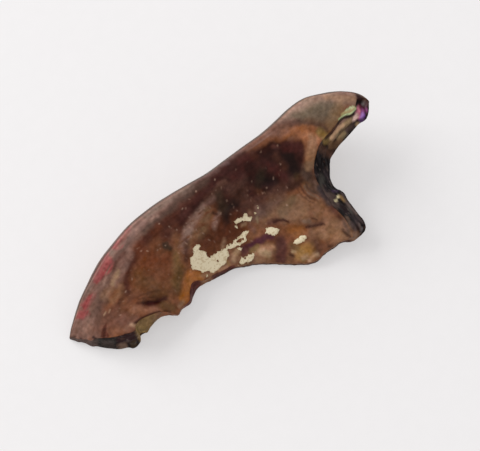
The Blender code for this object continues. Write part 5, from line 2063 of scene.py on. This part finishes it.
@dataclass(frozen=True)
class Studio:
    """The pale floor, the soft light and the camera.

    Attributes:
        azimuth: Camera's turn about the shard, in degrees.
        elevation: Camera's height above the floor, in degrees.
        distance: Camera's distance from its target, in metres.
        target: The point that the camera looks at, in metres.
        lens: Focal length in millimetres.
        sensor_width: Width of the camera's film, in millimetres.
        clip_start: Nearest distance that the camera sees, in metres.
        floor_size: Side of the floor, in metres.
        floor_gap: How far the floor lies under the shard, in metres.
        light_from: Plan direction that the window light comes from.
        light_height: Window light's height above the floor, in degrees.
        light_size: Breadth and height of the window light, in metres.
        light_distance: Its distance, in metres.
        light_power: Its power, in watts.
        dome_colour: Colour of the light from all round.
        dome: Strength of the light from all round.
    """

    azimuth: float = -38.0
    elevation: float = 68.0
    distance: float = 0.15
    target: Triple = (0.0015, 0.0012, 0.0)
    lens: float = 140.0
    sensor_width: float = 36.0
    clip_start: float = 0.01
    floor_size: float = 3.0
    floor_gap: float = 0.00002
    light_from: Span = (-0.407, 0.914)
    light_height: float = 30.0
    light_size: Span = (0.45, 0.30)
    light_distance: float = 0.5
    light_power: float = 2.6
    dome_colour: Triple = (1.0, 0.985, 0.98)
    dome: float = 0.6

    def floor(self) -> bpy.types.Object:
        """Makes the floor, a hair under the face that the shard rests on.

        Returns:
            The floor.
        """
        half = self.floor_size / 2
        mesh = bpy.data.meshes.new("paper_floor")
        sides = ((-half, -half), (half, -half), (half, half), (-half, half))
        corners = [(x, y, -self.floor_gap) for x, y in sides]
        mesh.from_pydata(corners, [], [(0, 1, 2, 3)])
        floor = bpy.data.objects.new("paper_floor", mesh)
        mesh.materials.append(PaperFinish().material())
        bpy.context.scene.collection.objects.link(floor)
        return floor

    @staticmethod
    def aimed(name: str, data: bpy.types.ID, middle: Vector, way: Vector, off: float) -> bpy.types.Object:
        """Stands a camera or a light off from a point and turns it to face that point.

        Args:
            name: Its name.
            data: The camera or the light.
            middle: The point that it faces.
            way: Direction from the point to it, of length 1.
            off: How far away it stands.

        Returns:
            The camera's or the light's object.
        """
        made = bpy.data.objects.new(name, data)
        made.location = middle + way * off
        made.rotation_euler = way.to_track_quat("Z", "Y").to_euler()
        bpy.context.scene.collection.objects.link(made)
        return made

    def camera(self) -> bpy.types.Object:
        """Makes the camera and makes it the scene's own.

        Returns:
            The camera.
        """
        turn, rise = math.radians(self.azimuth), math.radians(self.elevation)
        back = Vector((math.sin(turn) * math.cos(rise), -math.cos(turn) * math.cos(rise), math.sin(rise)))
        data = bpy.data.cameras.new("camera")
        data.lens = self.lens
        data.sensor_width = self.sensor_width
        data.clip_start = self.clip_start
        camera = self.aimed("camera", data, Vector(self.target), back, self.distance)
        bpy.context.scene.camera = camera
        return camera

    def window(self) -> bpy.types.Object:
        """Makes the soft window light.

        Returns:
            The light.
        """
        rise = math.radians(self.light_height)
        plan = Vector((*self.light_from, 0.0)).normalized()
        toward = plan * math.cos(rise) + Vector((0.0, 0.0, math.sin(rise)))
        data = bpy.data.lights.new("window_light", "AREA")
        data.shape = "RECTANGLE"
        data.size, data.size_y = self.light_size
        data.energy = self.light_power
        return self.aimed("window_light", data, Vector(), toward, self.light_distance)

    def dome_light(self) -> bpy.types.World:
        """Makes the even light from all round.

        Returns:
            The world that holds it.
        """
        world = bpy.data.worlds.new("soft_dome")
        world.use_nodes = True
        background = world.node_tree.nodes["Background"]
        background.inputs["Color"].default_value = (*self.dome_colour, 1.0)
        background.inputs["Strength"].default_value = self.dome
        bpy.context.scene.world = world
        return world

    def build(self) -> None:
        """Makes the whole studio."""
        made = (self.floor(), self.camera(), self.window(), self.dome_light())
        bpy.context.scene.view_settings.view_transform = "Standard"
        LOG.info("studio: %s", ", ".join(thing.name for thing in made))


def main() -> None:
    """Builds the shard and its studio in order."""
    logging.basicConfig(level=logging.INFO, format="%(name)s %(message)s")
    ToothShard().build()
    Studio().build()


if __name__ == "__main__":
    main()
